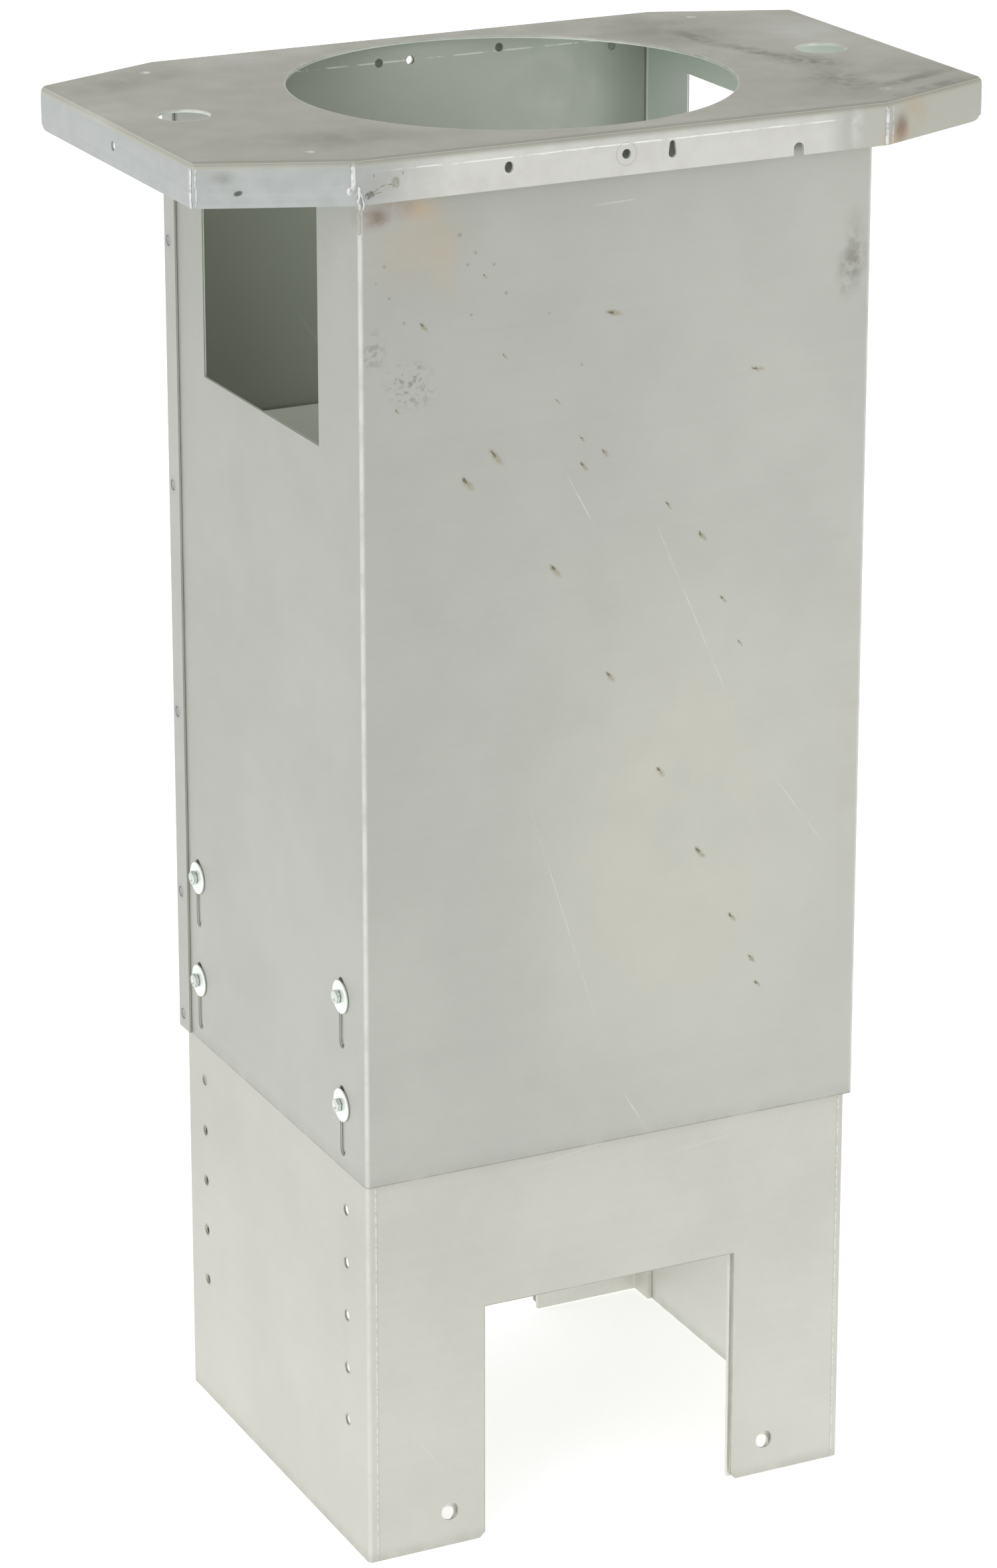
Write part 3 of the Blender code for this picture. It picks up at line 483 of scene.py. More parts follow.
def plate_material():
    graph = galvanneal("galvanneal_plate", PLATE_STEEL, 0.44, streaks=(2.0, 240.0, 2.0))
    for tint, place_x, y, (half_x, half_y), *rest in PLATE_STAINS:
        graph.stain(tint, on_plate(place_x, y), (half_x, half_y, STAIN_DEPTH), *rest, across="Z")
    x, z = graph.x, graph.z
    # lips: bluish at the left, warmer at the right and brighter at the front
    brushed = graph.noise(1.0, 3.0, 0.6, stretch=(6.0, 6.0, 420.0))
    worked = graph.total(graph.times(brushed, 0.25), graph.times(graph.cloud, 0.75))
    cool = graph.mix(graph.span(worked, 0.35, 0.65), LIP_GREY, LIP_PALE)
    lip = graph.below(z, PLATE_TOP - 0.0062, PLATE_TOP - 0.0022)
    graph.paint(graph.mix(graph.span(x, 0.12, 0.19), cool, LIP_WARM), lip)
    front = graph.times(graph.below(graph.y, -PLATE_Y + 0.0006, -PLATE_Y + 0.005),
                        graph.span(x, CUT_X - PLATE_X - 0.001, -0.118), graph.below(x, 0.138, 0.158), lip)
    graph.paint(graph.mix(graph.span(graph.cloud, 0.3, 0.7), LIP_STEEL, LIP_BRIGHT), front)
    wavy = graph.total(z, graph.times(graph.cloud, 0.0016))
    brake = graph.band(wavy, PLATE_TOP - 0.0078, 0.0002, 0.0005)
    graph.paint(BRIGHT, brake, front, graph.breakup_patches(0.38, 0.55, 0.0, 0.9))
    for tint, face, place, *rest in LIP_STAINS:
        graph.stain(tint, face(*place), *rest)
    for (x0, drop0), (x1, drop1) in LIP_CUTS:
        graph.paint(OLIVE, graph.line(on_lip(x0, drop0), on_lip(x1, drop1), 0.0005))
    # painted highlights on the cut rims and hole walls, and a washer's print round the second lip hole
    for side in (-1.0, 1.0):
        rim(graph, on_plate(side * WING_HOLE_X, 0.0), WING_HOLE_R, 0.0012, 0.85)
        for end in (-1.0, 1.0):
            rim(graph, on_plate(side * SMALL_HOLE_X, end * SMALL_HOLE_Y), SMALL_HOLE_R, 0.001, 0.8)
    rim(graph, on_plate(0.0, 0.0), OPENING_R, 0.0012, 0.55)
    print_ring = graph.nearest([(on_lip(ROUND_HOLE_X, LIP_HOLE_DROP), 1.0)])
    graph.paint(DIRT_AND_SHADE, graph.band(print_ring, 0.0072, 0.0001, 0.0004), 0.3)
    # painted light: the underside and the lips' inner faces take the brighter inner colour
    graph.paint(INNER_LIT, beneath(graph))
    return graph.done()


def beneath(graph):
    """1 on the plate's underside and the lips' inner faces."""
    x, y = graph.away(graph.x), graph.away(graph.y)
    slope = math.hypot(CUT_X, CUT_Y)
    across, down = CUT_Y / slope, CUT_X / slope
    reach = graph.total(graph.math("MULTIPLY", x, across), graph.math("MULTIPLY", y, down))
    edge = across * (PLATE_X - CUT_X) + down * PLATE_Y
    inset = graph.math("MAXIMUM", graph.math("SUBTRACT", x, PLATE_X), graph.math("SUBTRACT", y, PLATE_Y))
    inset = graph.math("MAXIMUM", inset, graph.math("SUBTRACT", reach, edge))
    low = graph.below(graph.z, PLATE_TOP - 0.0013, PLATE_TOP - 0.001)
    return graph.times(graph.below(inset, -0.0013, -0.001), low)


def rim(graph, centre, radius, width, strength):
    """A painted highlight on the wall and rim round a cut hole in the plate."""
    past = graph.math("SUBTRACT", graph.nearest([(centre, 1.0)]), radius)
    graph.paint(BRIGHT, graph.below(past, 0.0, width), strength, graph.breakup_patches(0.3, 0.6, 0.35))


def sleeve_material(name, turn):
    """turn is 1 for the front-left half and -1 for the half turned round."""
    # painted light: the sleeve lighter towards the floor and the right
    graph = galvanneal("galvanneal_" + name, SLEEVE_STEEL, painted_light_fade=(0.0, SHELL_LO.z, 0.06, 0.02))
    # painted light: the inner faces brighter than the outside
    inside(graph, SLEEVE_X, SLEEVE_Y, SLEEVE_INNER_LIT)
    # press-brake marks beside the bends, broken into short dashes
    x, z = graph.away(graph.x), graph.z
    dashes = graph.span(graph.noise(1.0, 2.0, 0.5, stretch=(1.0, 1.0, 330.0)), 0.46, 0.54)
    outside = graph.span(graph.away(graph.y), SLEEVE_Y - 0.001, SLEEVE_Y - 0.0006)
    graph.paint(BRIGHT, graph.band(x, SLEEVE_X - 0.0066, 0.00025, 0.0004), dashes, 0.55, outside)
    graph.paint(DIRT_AND_SHADE, graph.band(x, SLEEVE_X - 0.0074, 0.0002, 0.0005), outside, 0.16)
    corner_lines(graph, SLEEVE_X, SLEEVE_Y, 0.35)
    # painted shade darkening towards the bottom edge
    edge_shadow(graph, 0.0, 0.01, 0.22)
    # rusty burrs round the adjusting holes
    holes = graph.nearest([((-turn * SLEEVE_X, y, SLEEVE_HOLE_Z + k * HOLE_PITCH), 1.0)
                           for y in (-COLUMN_Y, COLUMN_Y) for k in range(5)])
    graph.paint(RUST_PALE, graph.span(holes, 0.004, 0.0056, 0.55, 0.0),
                graph.span(graph.noise(650.0, 3.0, 0.7), 0.35, 0.6))
    # painted shade along the cut edges round the cut-out
    graph.paint(EDGE_SHADE, cut_line(graph, z, CUTOUT_Z, 0.55), graph.below(x, CUTOUT_X, CUTOUT_X + 0.0006))
    graph.paint(EDGE_SHADE, cut_line(graph, x, CUTOUT_X, 0.45), graph.below(z, CUTOUT_Z, CUTOUT_Z + 0.0006))
    if turn < 0:
        # painted shade in the gap under the front-left half's lap
        graph.paint(SOOT_AND_SHADE, graph.band(graph.x, SLEEVE_X - 0.0013, 0.0006, 0.0004),
                    graph.below(graph.y, 0.004 - SLEEVE_Y, 0.005 - SLEEVE_Y), 0.8)
    else:
        graph.stain(STRAW, (-0.05, -SLEEVE_Y, 0.19), (0.12, 0.02, 0.04), 0.1, 4, 22.0)
        for x0, z0, x1, z1 in SLEEVE_SCRATCHES:
            graph.paint(BRIGHT, graph.line((x0, -SLEEVE_Y, z0), (x1, -SLEEVE_Y, z1), 0.0005), 0.15)
    return graph.done()


def plain_steel(name, base, roughness=0.46, metallic=0.35):
    return galvanneal(name, base, roughness, metallic=metallic).done()


def weld_material():
    """Bead metal: bright crests, sooty troughs and a touch of heat colour."""
    graph = Graph("weld_metal")
    soot = graph.noise(180.0, 4.0, 0.65)
    fine = graph.noise(900.0, 3.0, 0.6)
    graph.colour = graph.mix(graph.span(soot, 0.45, 0.72), WELD_PALE, WELD)
    graph.paint(DIRT_AND_SHADE, graph.span(fine, 0.62, 0.8, 0.0, 0.25))
    graph.shader.inputs["Metallic"].default_value = 0.45
    graph.plug(graph.span(soot, 0.3, 0.7, 0.28, 0.52), graph.shader.inputs["Roughness"])
    graph.bump(fine, 0.25)
    return graph.done()


def zinc_material(name, base):
    """Bright zinc with a patchy greenish passivation and fine dirt."""
    graph = Graph(name)
    cloud = graph.noise(260.0, 4.0, 0.6)
    tint = tuple(c * share for c, share in zip(base, (0.93, 1.0, 0.96)))
    graph.colour = graph.mix(graph.span(cloud, 0.35, 0.65), base, tint)
    graph.paint(DIRT_AND_SHADE, graph.span(graph.noise(2600.0, 2.0, 0.6), 0.6, 0.8, 0.0, 0.35))
    graph.shader.inputs["Metallic"].default_value = 0.7
    graph.plug(graph.span(cloud, 0.3, 0.7, 0.26, 0.42), graph.shader.inputs["Roughness"])
    graph.bump(graph.noise(900.0, 3.0, 0.6), 0.15)
    return graph.done()


def dress(node, material):
    obj = NODES[node]
    obj.data.materials.clear()
    obj.data.materials.append(material)


# ---------------- mesh helpers
SLOT_STEPS = 10


def put(name, data):
    """A new object in the scene."""
    obj = bpy.data.objects.new(name, data)
    bpy.context.scene.collection.objects.link(obj)
    return obj


def made_mesh(name, bm):
    mesh = bpy.data.meshes.new(name)
    bm.to_mesh(mesh)
    bm.free()
    return mesh


def new_piece(name, bm, material, body, smooth=40.0):
    bmesh.ops.recalc_face_normals(bm, faces=bm.faces)
    mesh = made_mesh(name, bm)
    mesh.shade_smooth()
    mesh.set_sharp_from_angle(angle=math.radians(smooth))
    mesh.materials.append(material)
    obj = put(name, mesh)
    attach(obj, body)
    return obj


def stand_in(node):
    """A piece takes a CAD node's place."""
    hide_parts(node)


def add_ring(bm, points):
    return [bm.verts.new(p) for p in points]


def skin(bm, rings, closed=False):
    """Walls between rings, with end caps or, when closed, a wall back to the first ring."""
    pairs = list(zip(rings, rings[1:]))
    if closed:
        pairs.append((rings[-1], rings[0]))
    count = len(rings[0])
    for lower, upper in pairs:
        for i in range(count):
            j = (i + 1) % count
            bm.faces.new((lower[i], lower[j], upper[j], upper[i]))
    if not closed:
        bm.faces.new(rings[0][::-1])
        bm.faces.new(rings[-1])


def add_prism(bm, outline, low, high, place):
    rings = [add_ring(bm, [place(a, b, level) for a, b in outline]) for level in (low, high)]
    skin(bm, rings)


def polar(radius, angle):
    return radius * math.cos(angle), radius * math.sin(angle)


def circle(cx, cy, radius, segments):
    return [(cx + a, cy + b) for a, b in
            (polar(radius, 2.0 * math.pi * i / segments) for i in range(segments))]


def slot(cx, upper, lower, upper_r, lower_r):
    """A slot between two centre heights, with round ends of their own radii."""
    points = []
    for start, level, radius in ((0.0, upper, upper_r), (math.pi, lower, lower_r)):
        for i in range(SLOT_STEPS + 1):
            a, b = polar(radius, start + math.pi * i / SLOT_STEPS)
            points.append((cx + a, level + b))
    return points


def carve(piece, bm):
    """Cut the solids in bm out of a piece for good."""
    bmesh.ops.recalc_face_normals(bm, faces=bm.faces)
    carver = put("carver", made_mesh("carver", bm))
    modifier = piece.modifiers.new("carve", "BOOLEAN")
    modifier.operation = "DIFFERENCE"
    modifier.solver = "EXACT"
    modifier.object = carver
    whole = piece.data
    cut = bpy.data.meshes.new_from_object(piece.evaluated_get(bpy.context.evaluated_depsgraph_get()))
    piece.modifiers.clear()
    piece.data, cut.name = cut, whole.name
    bpy.data.meshes.remove(whole)
    bpy.data.objects.remove(carver)


def soften(piece):
    """Round the cut edges so that they catch the light."""
    bevel = piece.modifiers.new("edges", "BEVEL")
    bevel.width = 0.00035
    bevel.segments = 2
    bevel.limit_method = "ANGLE"
    bevel.angle_limit = math.radians(50.0)
    piece.data.shade_smooth()
    piece.data.set_sharp_from_angle(angle=math.radians(35.0))


# ---------------- top plate
CORNERS = ("front_left", "front_right", "right_front", "right_rear",
           "rear_right", "rear_left", "left_rear", "left_front")
CORNER_ROUND = (0.0016, 0.0016, 0.005, 0.004, 0.003, 0.003, 0.005, 0.0022)
ARC_STEPS = 5


def octagon(inset):
    """Corners of the plate's outline moved inwards, from the front edge's left end, anticlockwise."""
    x, y = PLATE_X - inset, PLATE_Y - inset
    slope = math.hypot(CUT_X, CUT_Y)
    cut_x = CUT_X + inset * (slope - CUT_X - CUT_Y) / CUT_Y
    cut_y = CUT_Y + inset * (slope - CUT_X - CUT_Y) / CUT_X
    return [Vector(p) for p in ((-x + cut_x, -y), (x - cut_x, -y), (x, -y + cut_y), (x, y - cut_y),
                                (x - cut_x, y), (-x + cut_x, y), (-x, y - cut_y), (-x, -y + cut_y))]


NEAR_CORNER = (0.002, 0.004, 0.006, 0.009)
# How far the lip's lower edge is ground away at a corner.
GROUND = {2: 0.003, 3: 0.0016, 6: 0.0028, 7: 0.0006}
GROUND_REACH = 0.0085


def rounded_outline(inset):
    """Points round the plate, each with how far its lip's lower edge is ground up."""
    corners = octagon(inset)
    points = []
    for i, corner in enumerate(corners):
        before = (corner - corners[i - 1]).normalized()
        after = (corners[(i + 1) % 8] - corner).normalized()
        turn = math.acos(max(-1.0, min(1.0, before.dot(after))))
        radius = max(CORNER_ROUND[i] - inset, 0.0005)
        back = radius * math.tan(turn / 2.0)
        centre = corner - before * back + Vector((-before.y, before.x)) * radius
        start = math.atan2(-before.x, before.y)
        run = [corner - before * (back + d) for d in reversed(NEAR_CORNER)]
        for k in range(ARC_STEPS + 1):
            angle = start + turn * k / ARC_STEPS
            run.append(centre + Vector((math.cos(angle), math.sin(angle))) * radius)
        run += [corner + after * (back + d) for d in NEAR_CORNER]
        for point in run:
            near = max(0.0, 1.0 - max(0.0, (point - corner).length - back) / GROUND_REACH)
            points.append((point, GROUND.get(i, 0.0) * (1.0 - math.sqrt(1.0 - near * near))))
    return points


def plate_piece(material):
    """The folded cap, with finer bends and corners than the CAD solid."""
    bm = bmesh.new()
    steps = 8
    levels = [(PLATE_BEND, PLATE_TOP)]
    for i in range(1, steps + 1):
        angle = math.pi / 2.0 * i / steps
        levels.append((PLATE_BEND * (1.0 - math.sin(angle)),
                       PLATE_TOP - PLATE_BEND * (1.0 - math.cos(angle))))
    levels += [(0.0, LIP_BOTTOM), (PLATE_SHEET, LIP_BOTTOM)]
    inner = PLATE_BEND - PLATE_SHEET
    for i in range(steps, 0, -1):
        angle = math.pi / 2.0 * i / steps
        levels.append((PLATE_BEND - inner * math.sin(angle),
                       PLATE_TOP - PLATE_BEND + inner * math.cos(angle)))
    levels.append((PLATE_BEND, PLATE_TOP - PLATE_SHEET))
    rings = [add_ring(bm, [(p.x, p.y, z + (up if z == LIP_BOTTOM else 0.0))
                           for p, up in rounded_outline(inset)]) for inset, z in levels]
    skin(bm, rings)
    plate = new_piece("plate_cap", bm, material, "shell")
    carve(plate, plate_holes())
    soften(plate)
    stand_in("top_plate")


def plate_holes():
    """Cutters for every hole in the plate and its lips."""
    bm = bmesh.new()
    low, high = PLATE_TOP - 0.01, PLATE_TOP + 0.01

    def upright(a, b, level):
        return (a, b, level)

    def facing(a, b, level):
        return (a, level, b)

    def sideways(a, b, level):
        return (level, a, b)

    add_prism(bm, circle(0.0, 0.0, OPENING_R, 160), low, high, upright)
    for side in (-1.0, 1.0):
        add_prism(bm, circle(side * WING_HOLE_X, 0.0, WING_HOLE_R, 56), low, high, upright)
        for end in (-1.0, 1.0):
            small = circle(side * SMALL_HOLE_X, end * SMALL_HOLE_Y, SMALL_HOLE_R, 24)
            add_prism(bm, small, low, high, upright)
    within, beyond = LIP_HOLE_REACH
    front = (-PLATE_Y - beyond, -PLATE_Y + within)
    z = PLATE_TOP - LIP_HOLE_DROP
    add_prism(bm, slot(-0.0836, z + 0.0007, z - 0.0007, 0.0029, 0.0029), *front, facing)
    add_prism(bm, circle(ROUND_HOLE_X, z, LIP_HOLE_R, 28), *front, facing)
    add_prism(bm, slot(0.0305, z + 0.0034, z - 0.0028, 0.002, 0.0028), *front, facing)
    add_prism(bm, slot(0.1211, LIP_BOTTOM + 0.0049, LIP_BOTTOM - 0.0064, 0.0036, 0.0036), *front, facing)
    add_prism(bm, circle(0.003, z - 0.002, LIP_HOLE_R, 28), PLATE_Y - within, PLATE_Y + beyond, facing)
    for side in (-1.0, 1.0):
        ends = (side * (PLATE_X - within), side * (PLATE_X + beyond))
        add_prism(bm, circle(0.0, z, LIP_HOLE_R, 28), *ends, sideways)
    return bm


BEAD_SIDES, BEAD_STEP = 14, 0.0006


def bead(bm, path, across, out, half_width, height, seed, rough, curve=0.0):
    """A weld bead along a path of points: a half-round with gentle lumps, ripples and domed ends.
    across and out are unit vectors over the bead and away from the sheet. curve is the radius of
    a rounded corner that the bead wraps."""
    rng = random.Random(seed)
    phases = [rng.uniform(0.0, 6.283) for _ in range(5)]
    lengths = [0.0]
    for a, b in zip(path, path[1:]):
        lengths.append(lengths[-1] + (b - a).length)
    total = lengths[-1]
    count = max(12, int(total / BEAD_STEP))
    rings = []
    for i in range(count + 1):
        s = total * i / count
        k = max(j for j in range(len(path) - 1) if lengths[j] <= s + 1e-9)
        place = path[k].lerp(path[k + 1], (s - lengths[k]) / (lengths[k + 1] - lengths[k]))
        end = min(s, total - s) / (half_width * 1.6)
        dome = max(0.15, math.sqrt(1.0 - (1.0 - min(1.0, end)) ** 2))
        swell = 0.13 * math.sin(s * 380.0 + phases[0]) + 0.07 * math.sin(s * 1020.0 + phases[1])
        swell = 1.0 + rough * swell
        crest = 1.0 + rough * 0.14 * math.sin(s * 2600.0 + phases[2])
        sway = rough * (0.00035 * math.sin(s * 310.0 + phases[3]) + 0.00015 * math.sin(s * 900.0 + phases[4]))
        ring = []
        for side in range(BEAD_SIDES):
            angle = 2.0 * math.pi * side / BEAD_SIDES
            a = math.cos(angle) * half_width * dome * swell
            b = math.sin(angle)
            b *= height * dome * crest * swell if b > 0.0 else height * 0.5 * dome
            b -= a * a / (2.0 * curve) if curve else 0.0
            ring.append(place + across * (a + sway) + out * b)
        rings.append(add_ring(bm, ring))
    skin(bm, rings)


def lump(bm, place, radii, along, out, rng):
    """A drop of weld metal, lopsided a little. radii run along the sheet, away from it and upright."""
    tall = along.cross(out)
    made = bmesh.ops.create_icosphere(bm, subdivisions=3, radius=1.0)
    tilt = rng.uniform(-0.25, 0.25)
    for vert in made["verts"]:
        a, b, c = vert.co
        vert.co = place + along * ((a + tilt * c) * radii[0]) + out * (b * radii[1]) + tall * (c * radii[2])


# Beads that close the lip, by corner: half width, height, shift along the lip past the corner,
# roughness, and the drops of their upper and lower ends below the plate.
LIP_BEADS = {
    "front_left": ((0.0016, 0.0012, -0.0022, 0.25, 0.0012, 0.0205),),
    "front_right": ((0.0012, 0.001, -0.001, 0.35, 0.0024, 0.0287),
                    (0.0004, 0.0003, 0.0042, 0.4, 0.003, 0.0284)),
    "left_front": ((0.0014, 0.0007, -0.0008, 0.8, 0.0022, 0.0288),
                   (0.0005, 0.0004, 0.002, 0.9, 0.003, 0.0275)),
}
GROUND_BEAD = (0.0026, 0.0003)
GROUND_TOP = 0.0042


def lip_beads(bright, ground):
    corners = octagon(PLATE_SHEET * 0.5)
    for i, name in enumerate(CORNERS):
        before = (corners[i] - corners[i - 1]).normalized()
        after = (corners[(i + 1) % 8] - corners[i]).normalized()
        bm = bmesh.new()
        if name in LIP_BEADS:
            for k, (half_width, height, shift, rough, top, bottom) in enumerate(LIP_BEADS[name]):
                along = before if shift < 0.0 else after
                out = Vector((along.y, -along.x, 0.0))
                place = corners[i] + along * shift + out.xy * (PLATE_SHEET * 0.5)
                ends = [Vector((place.x, place.y, PLATE_TOP - drop)) for drop in (bottom, top)]
                if ends[1].z > PLATE_TOP - PLATE_BEND:
                    ends[1] -= out * (PLATE_BEND * 0.35)
                    ends.insert(1, Vector((place.x, place.y, PLATE_TOP - PLATE_BEND)))
                seed = 20 + 9 * k + i
                bead(bm, ends, along.to_3d(), out, half_width, height, seed, rough)
            if name == "front_left":
                front_left_drips(bm, corners[i], before, after)
        else:
            tangent = (before + after).normalized()
            out = Vector((tangent.y, -tangent.x, 0.0))
            turn = math.acos(max(-1.0, min(1.0, before.dot(after))))
            sink = CORNER_ROUND[i] * (1.0 / math.cos(turn / 2.0) - 1.0)
            place = corners[i] + out.xy * (PLATE_SHEET * 0.5 / math.cos(turn / 2.0) - sink - 0.00005)
            low = Vector((place.x, place.y, LIP_BOTTOM + GROUND.get(i, 0.0) + 0.0002))
            high = Vector((place.x, place.y, PLATE_TOP - GROUND_TOP))
            bead(bm, (low, high), tangent.to_3d(), out, *GROUND_BEAD, 20 + i, 0.15,
                 CORNER_ROUND[i])
        piece = new_piece("lip_bead_" + name, bm, bright if name in LIP_BEADS else ground, "shell", 60.0)
        stand_in("lip_weld_" + name)


def front_left_drips(bm, corner, before, after):
    """The front-left corner's drop, and the twisted strand below it."""
    rng = random.Random(7)
    out = Vector((before.y, -before.x, 0.0))
    base = Vector((corner.x, corner.y, PLATE_TOP))
    along = before.to_3d()
    drop = base - along * 0.004 + out * (PLATE_SHEET * 0.5) - Vector((0.0, 0.0, 0.0192))
    lump(bm, drop, (0.0024, 0.0011, 0.0031), along, out, rng)
    tangent = ((before + after) / 2.0).normalized()
    across = tangent.to_3d()
    away = Vector((across.y, -across.x, 0.0))
    for k, (start, swing, half_width) in enumerate(((0.0002, 0.0006, 0.0009), (0.0019, -0.0008, 0.0005))):
        path = []
        for i in range(17):
            t = i / 16.0
            bend = swing * math.sin(1.2 + 5.5 * t) + 0.0003 * math.sin(17.0 * t + k)
            level = Vector((0.0, 0.0, 0.016 + 0.0155 * t))
            path.append(base + across * (start + 0.0018 * t + bend) + away * (PLATE_SHEET * 0.5) - level)
        bead(bm, path, across, away, half_width, half_width * 0.9, 80 + k, 0.9)


def corner_tack(metal, scale):
    """The tack below the front-left lip corner, and spatter beside it."""
    bm = bmesh.new()
    out = Vector((-1.0, -1.0, 0.0)).normalized()
    across = Vector((out.y, -out.x, 0.0))
    corner = Vector((-SHELL_X + 0.0009, -SHELL_Y + 0.0009, LIP_BOTTOM + 0.006))
    path = [corner - Vector((0.0, 0.0, 0.0034 * k)) + across * (0.0004 * math.sin(1.9 * k)) for k in range(9)]
    bead(bm, path, across, out, 0.0012, 0.0009, 61, 0.9)
    piece = new_piece("corner_tack", bm, metal, "shell", 60.0)
    bm = bmesh.new()
    rng = random.Random(9)
    right, front = Vector((1.0, 0.0, 0.0)), Vector((0.0, -1.0, 0.0))
    for _ in range(12):
        place = on_lip(-0.1782 + rng.gauss(0.0, 0.0014), 0.0226 + rng.gauss(0.0, 0.0009))
        size = rng.uniform(0.0003, 0.0007)
        lump(bm, place, (size, size * 0.6, size), right, front, rng)
    for _ in range(7):
        place = on_front(abs(rng.gauss(0.0, 0.02)) + 0.003, 0.03 + rng.uniform(0.0, 0.05))
        size = rng.uniform(0.0002, 0.0004)
        lump(bm, place, (size, size * 0.6, size), right, front, rng)
    piece = new_piece("weld_spatter", bm, scale, "shell", 60.0)


def fillet_beads(material):
    """Beads in the corner between the shell and the plate, and on the sleeve's laps."""
    for name in NODES:
        if not name.startswith(("top_weld", "sleeve_weld")):
            continue
        low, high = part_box(name)
        centre, size = (low + high) / 2.0, high - low
        longest = max(range(3), key=lambda k: size[k])
        along = Vector([size[k] / 2.0 if k == longest else 0.0 for k in range(3)])
        if name.startswith("top_weld"):
            away = Vector((math.copysign(1.0, centre.x) if longest == 1 else 0.0,
                           math.copysign(1.0, centre.y) if longest == 0 else 0.0, -1.0)).normalized()
            root = Vector([centre[k] - away[k] * min(size[j] for j in range(3)) * 0.42 for k in range(3)])
            half_width, height, body = 0.0019, 0.0017, "shell"
        else:
            away = Vector((-math.copysign(1.0, centre.x), math.copysign(1.0, -centre.y), 0.0)).normalized()
            root = centre - away * 0.0005
            half_width, height, body = 0.0011, 0.0009, "sleeve"
        across = away.cross(along.normalized())
        bm = bmesh.new()
        bead(bm, (root - along, root + along), across, away, half_width, height, len(name) + longest, 1.2)
        piece = new_piece(name.replace("weld", "bead"), bm, material, body, 60.0)
        stand_in(name)


# Rings of a spot weld, from the wall outwards and back into its sunken face: radius and rise.
NUGGET_RINGS = ((0.0035, 0.0), (0.0035, 0.001), (0.0031, 0.00135), (0.0026, 0.0012),
                (0.0018, 0.00085), (0.0008, 0.00072))


def spot_welds(material):
    """Sunken nuggets with a raised collar, where the rear panel's flange is plugged."""
    for name in NODES:
        if not name.startswith("seam_plug"):
            continue
        low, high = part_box(name)
        centre = middle(name)
        side, wall = math.copysign(1.0, centre.x), min(abs(low.x), abs(high.x))
        bm = bmesh.new()
        skin(bm, [add_ring(bm, [(side * (wall + rise), centre.y + a, centre.z + b)
                                for a, b in circle(0.0, 0.0, radius, 24)]) for radius, rise in NUGGET_RINGS])
        piece = new_piece(name.replace("plug", "nugget"), bm, material, "shell", 50.0)
        stand_in(name)


# ---------------- screws, washers and nuts
SIDES = 48
DISH = 0.0006
WASHER_SAG = 0.0006
THREAD_PITCH, THREAD_DEPTH, THREAD_STEPS = 0.00127, 0.00042, 8


def hex_reach(i, across_flats, rounding):
    """How far a hexagon with trimmed corners reaches at the ring's point i."""
    angle = math.radians((360.0 * i / SIDES) % 60.0 - 30.0)
    reach = across_flats / 2.0 / math.cos(angle)
    return min(reach, across_flats / 2.0 * (1.1547 - rounding))


def turned(bm, place, profile):
    """Rings about an outward axis. Each is (radius, height), or for a hexagon (across flats, height,
    rounding of its corners)."""
    rings = []
    for size, height, *rounding in profile:
        ring = []
        for i in range(SIDES):
            angle = 2.0 * math.pi * i / SIDES
            radius = hex_reach(i, size, *rounding) if rounding else size
            ring.append(place(*polar(radius, angle), height))
        rings.append(add_ring(bm, ring))
    return rings


def placer(node, side, turn, sag):
    """Map (a, b, out) to the row frame about a fastener's axis; out is away from the wall."""
    low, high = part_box(node)
    centre = middle(node)
    cosine, sine = math.cos(turn), math.sin(turn)

    def place(a, b, out):
        return (side * out, centre.y + a * cosine - b * sine, centre.z - sag + a * sine + b * cosine)

    return place, min(abs(low.x), abs(high.x)), max(abs(low.x), abs(high.x))


def fasteners(zinc, zinc_screw):
    turns = random.Random(11)
    shapes = {"screw": screw_shape, "washer": washer_shape, "nut": nut_shape}
    for node in sorted(NODES):
        kind, _, where = node.partition("_")
        if kind not in shapes:
            continue
        side = -1.0 if "left" in where else 1.0
        bm = bmesh.new()
        sag = WASHER_SAG if kind == "washer" else 0.0
        shapes[kind](bm, *placer(node, side, turns.uniform(0.0, 1.0), sag))
        body = "sleeve" if kind == "nut" else "screw_set_" + where
        piece = new_piece(kind + "_shape_" + where, bm, zinc_screw if kind == "screw" else zinc, body, 32.0)
        stand_in(node)


def screw_shape(bm, place, inner, outer):
    """Dished hex head with a chamfered top on a threaded shank."""
    base, outer = outer - HEAD_H + DISH * 0.8, outer + DISH * 0.8
    rings = turned(bm, place, ((SCREW_R * 0.62, inner), (SCREW_R - 0.0005, inner + 0.0004)))
    start, end = inner + 0.0006, base - 0.0012
    count = int((end - start) / THREAD_PITCH * THREAD_STEPS)
    for k in range(count + 1):
        level = start + (end - start) * k / count
        ring = []
        for i in range(SIDES):
            angle = 2.0 * math.pi * i / SIDES
            phase = (level / THREAD_PITCH + angle / (2.0 * math.pi)) % 1.0
            radius = SCREW_R - THREAD_DEPTH * abs(2.0 * phase - 1.0)
            ring.append(place(*polar(radius, angle), level))
        rings.append(add_ring(bm, ring))
    af = HEAD_AF
    rings += turned(bm, place, (
        (SCREW_R, base - 0.0006), (SCREW_R, base), (af * 0.485, base), (af, base + 0.00025, 0.0),
        (af, outer - 0.00085, 0.0), (af * 0.995, outer - 0.00045, 0.045), (af * 0.478, outer - 0.00012),
        (af * 0.445, outer), (af * 0.36, outer - 0.00005), (af * 0.31, outer - 0.00035),
        (af * 0.26, outer - 0.0009), (af * 0.14, outer - 0.00105)))
    skin(bm, rings)


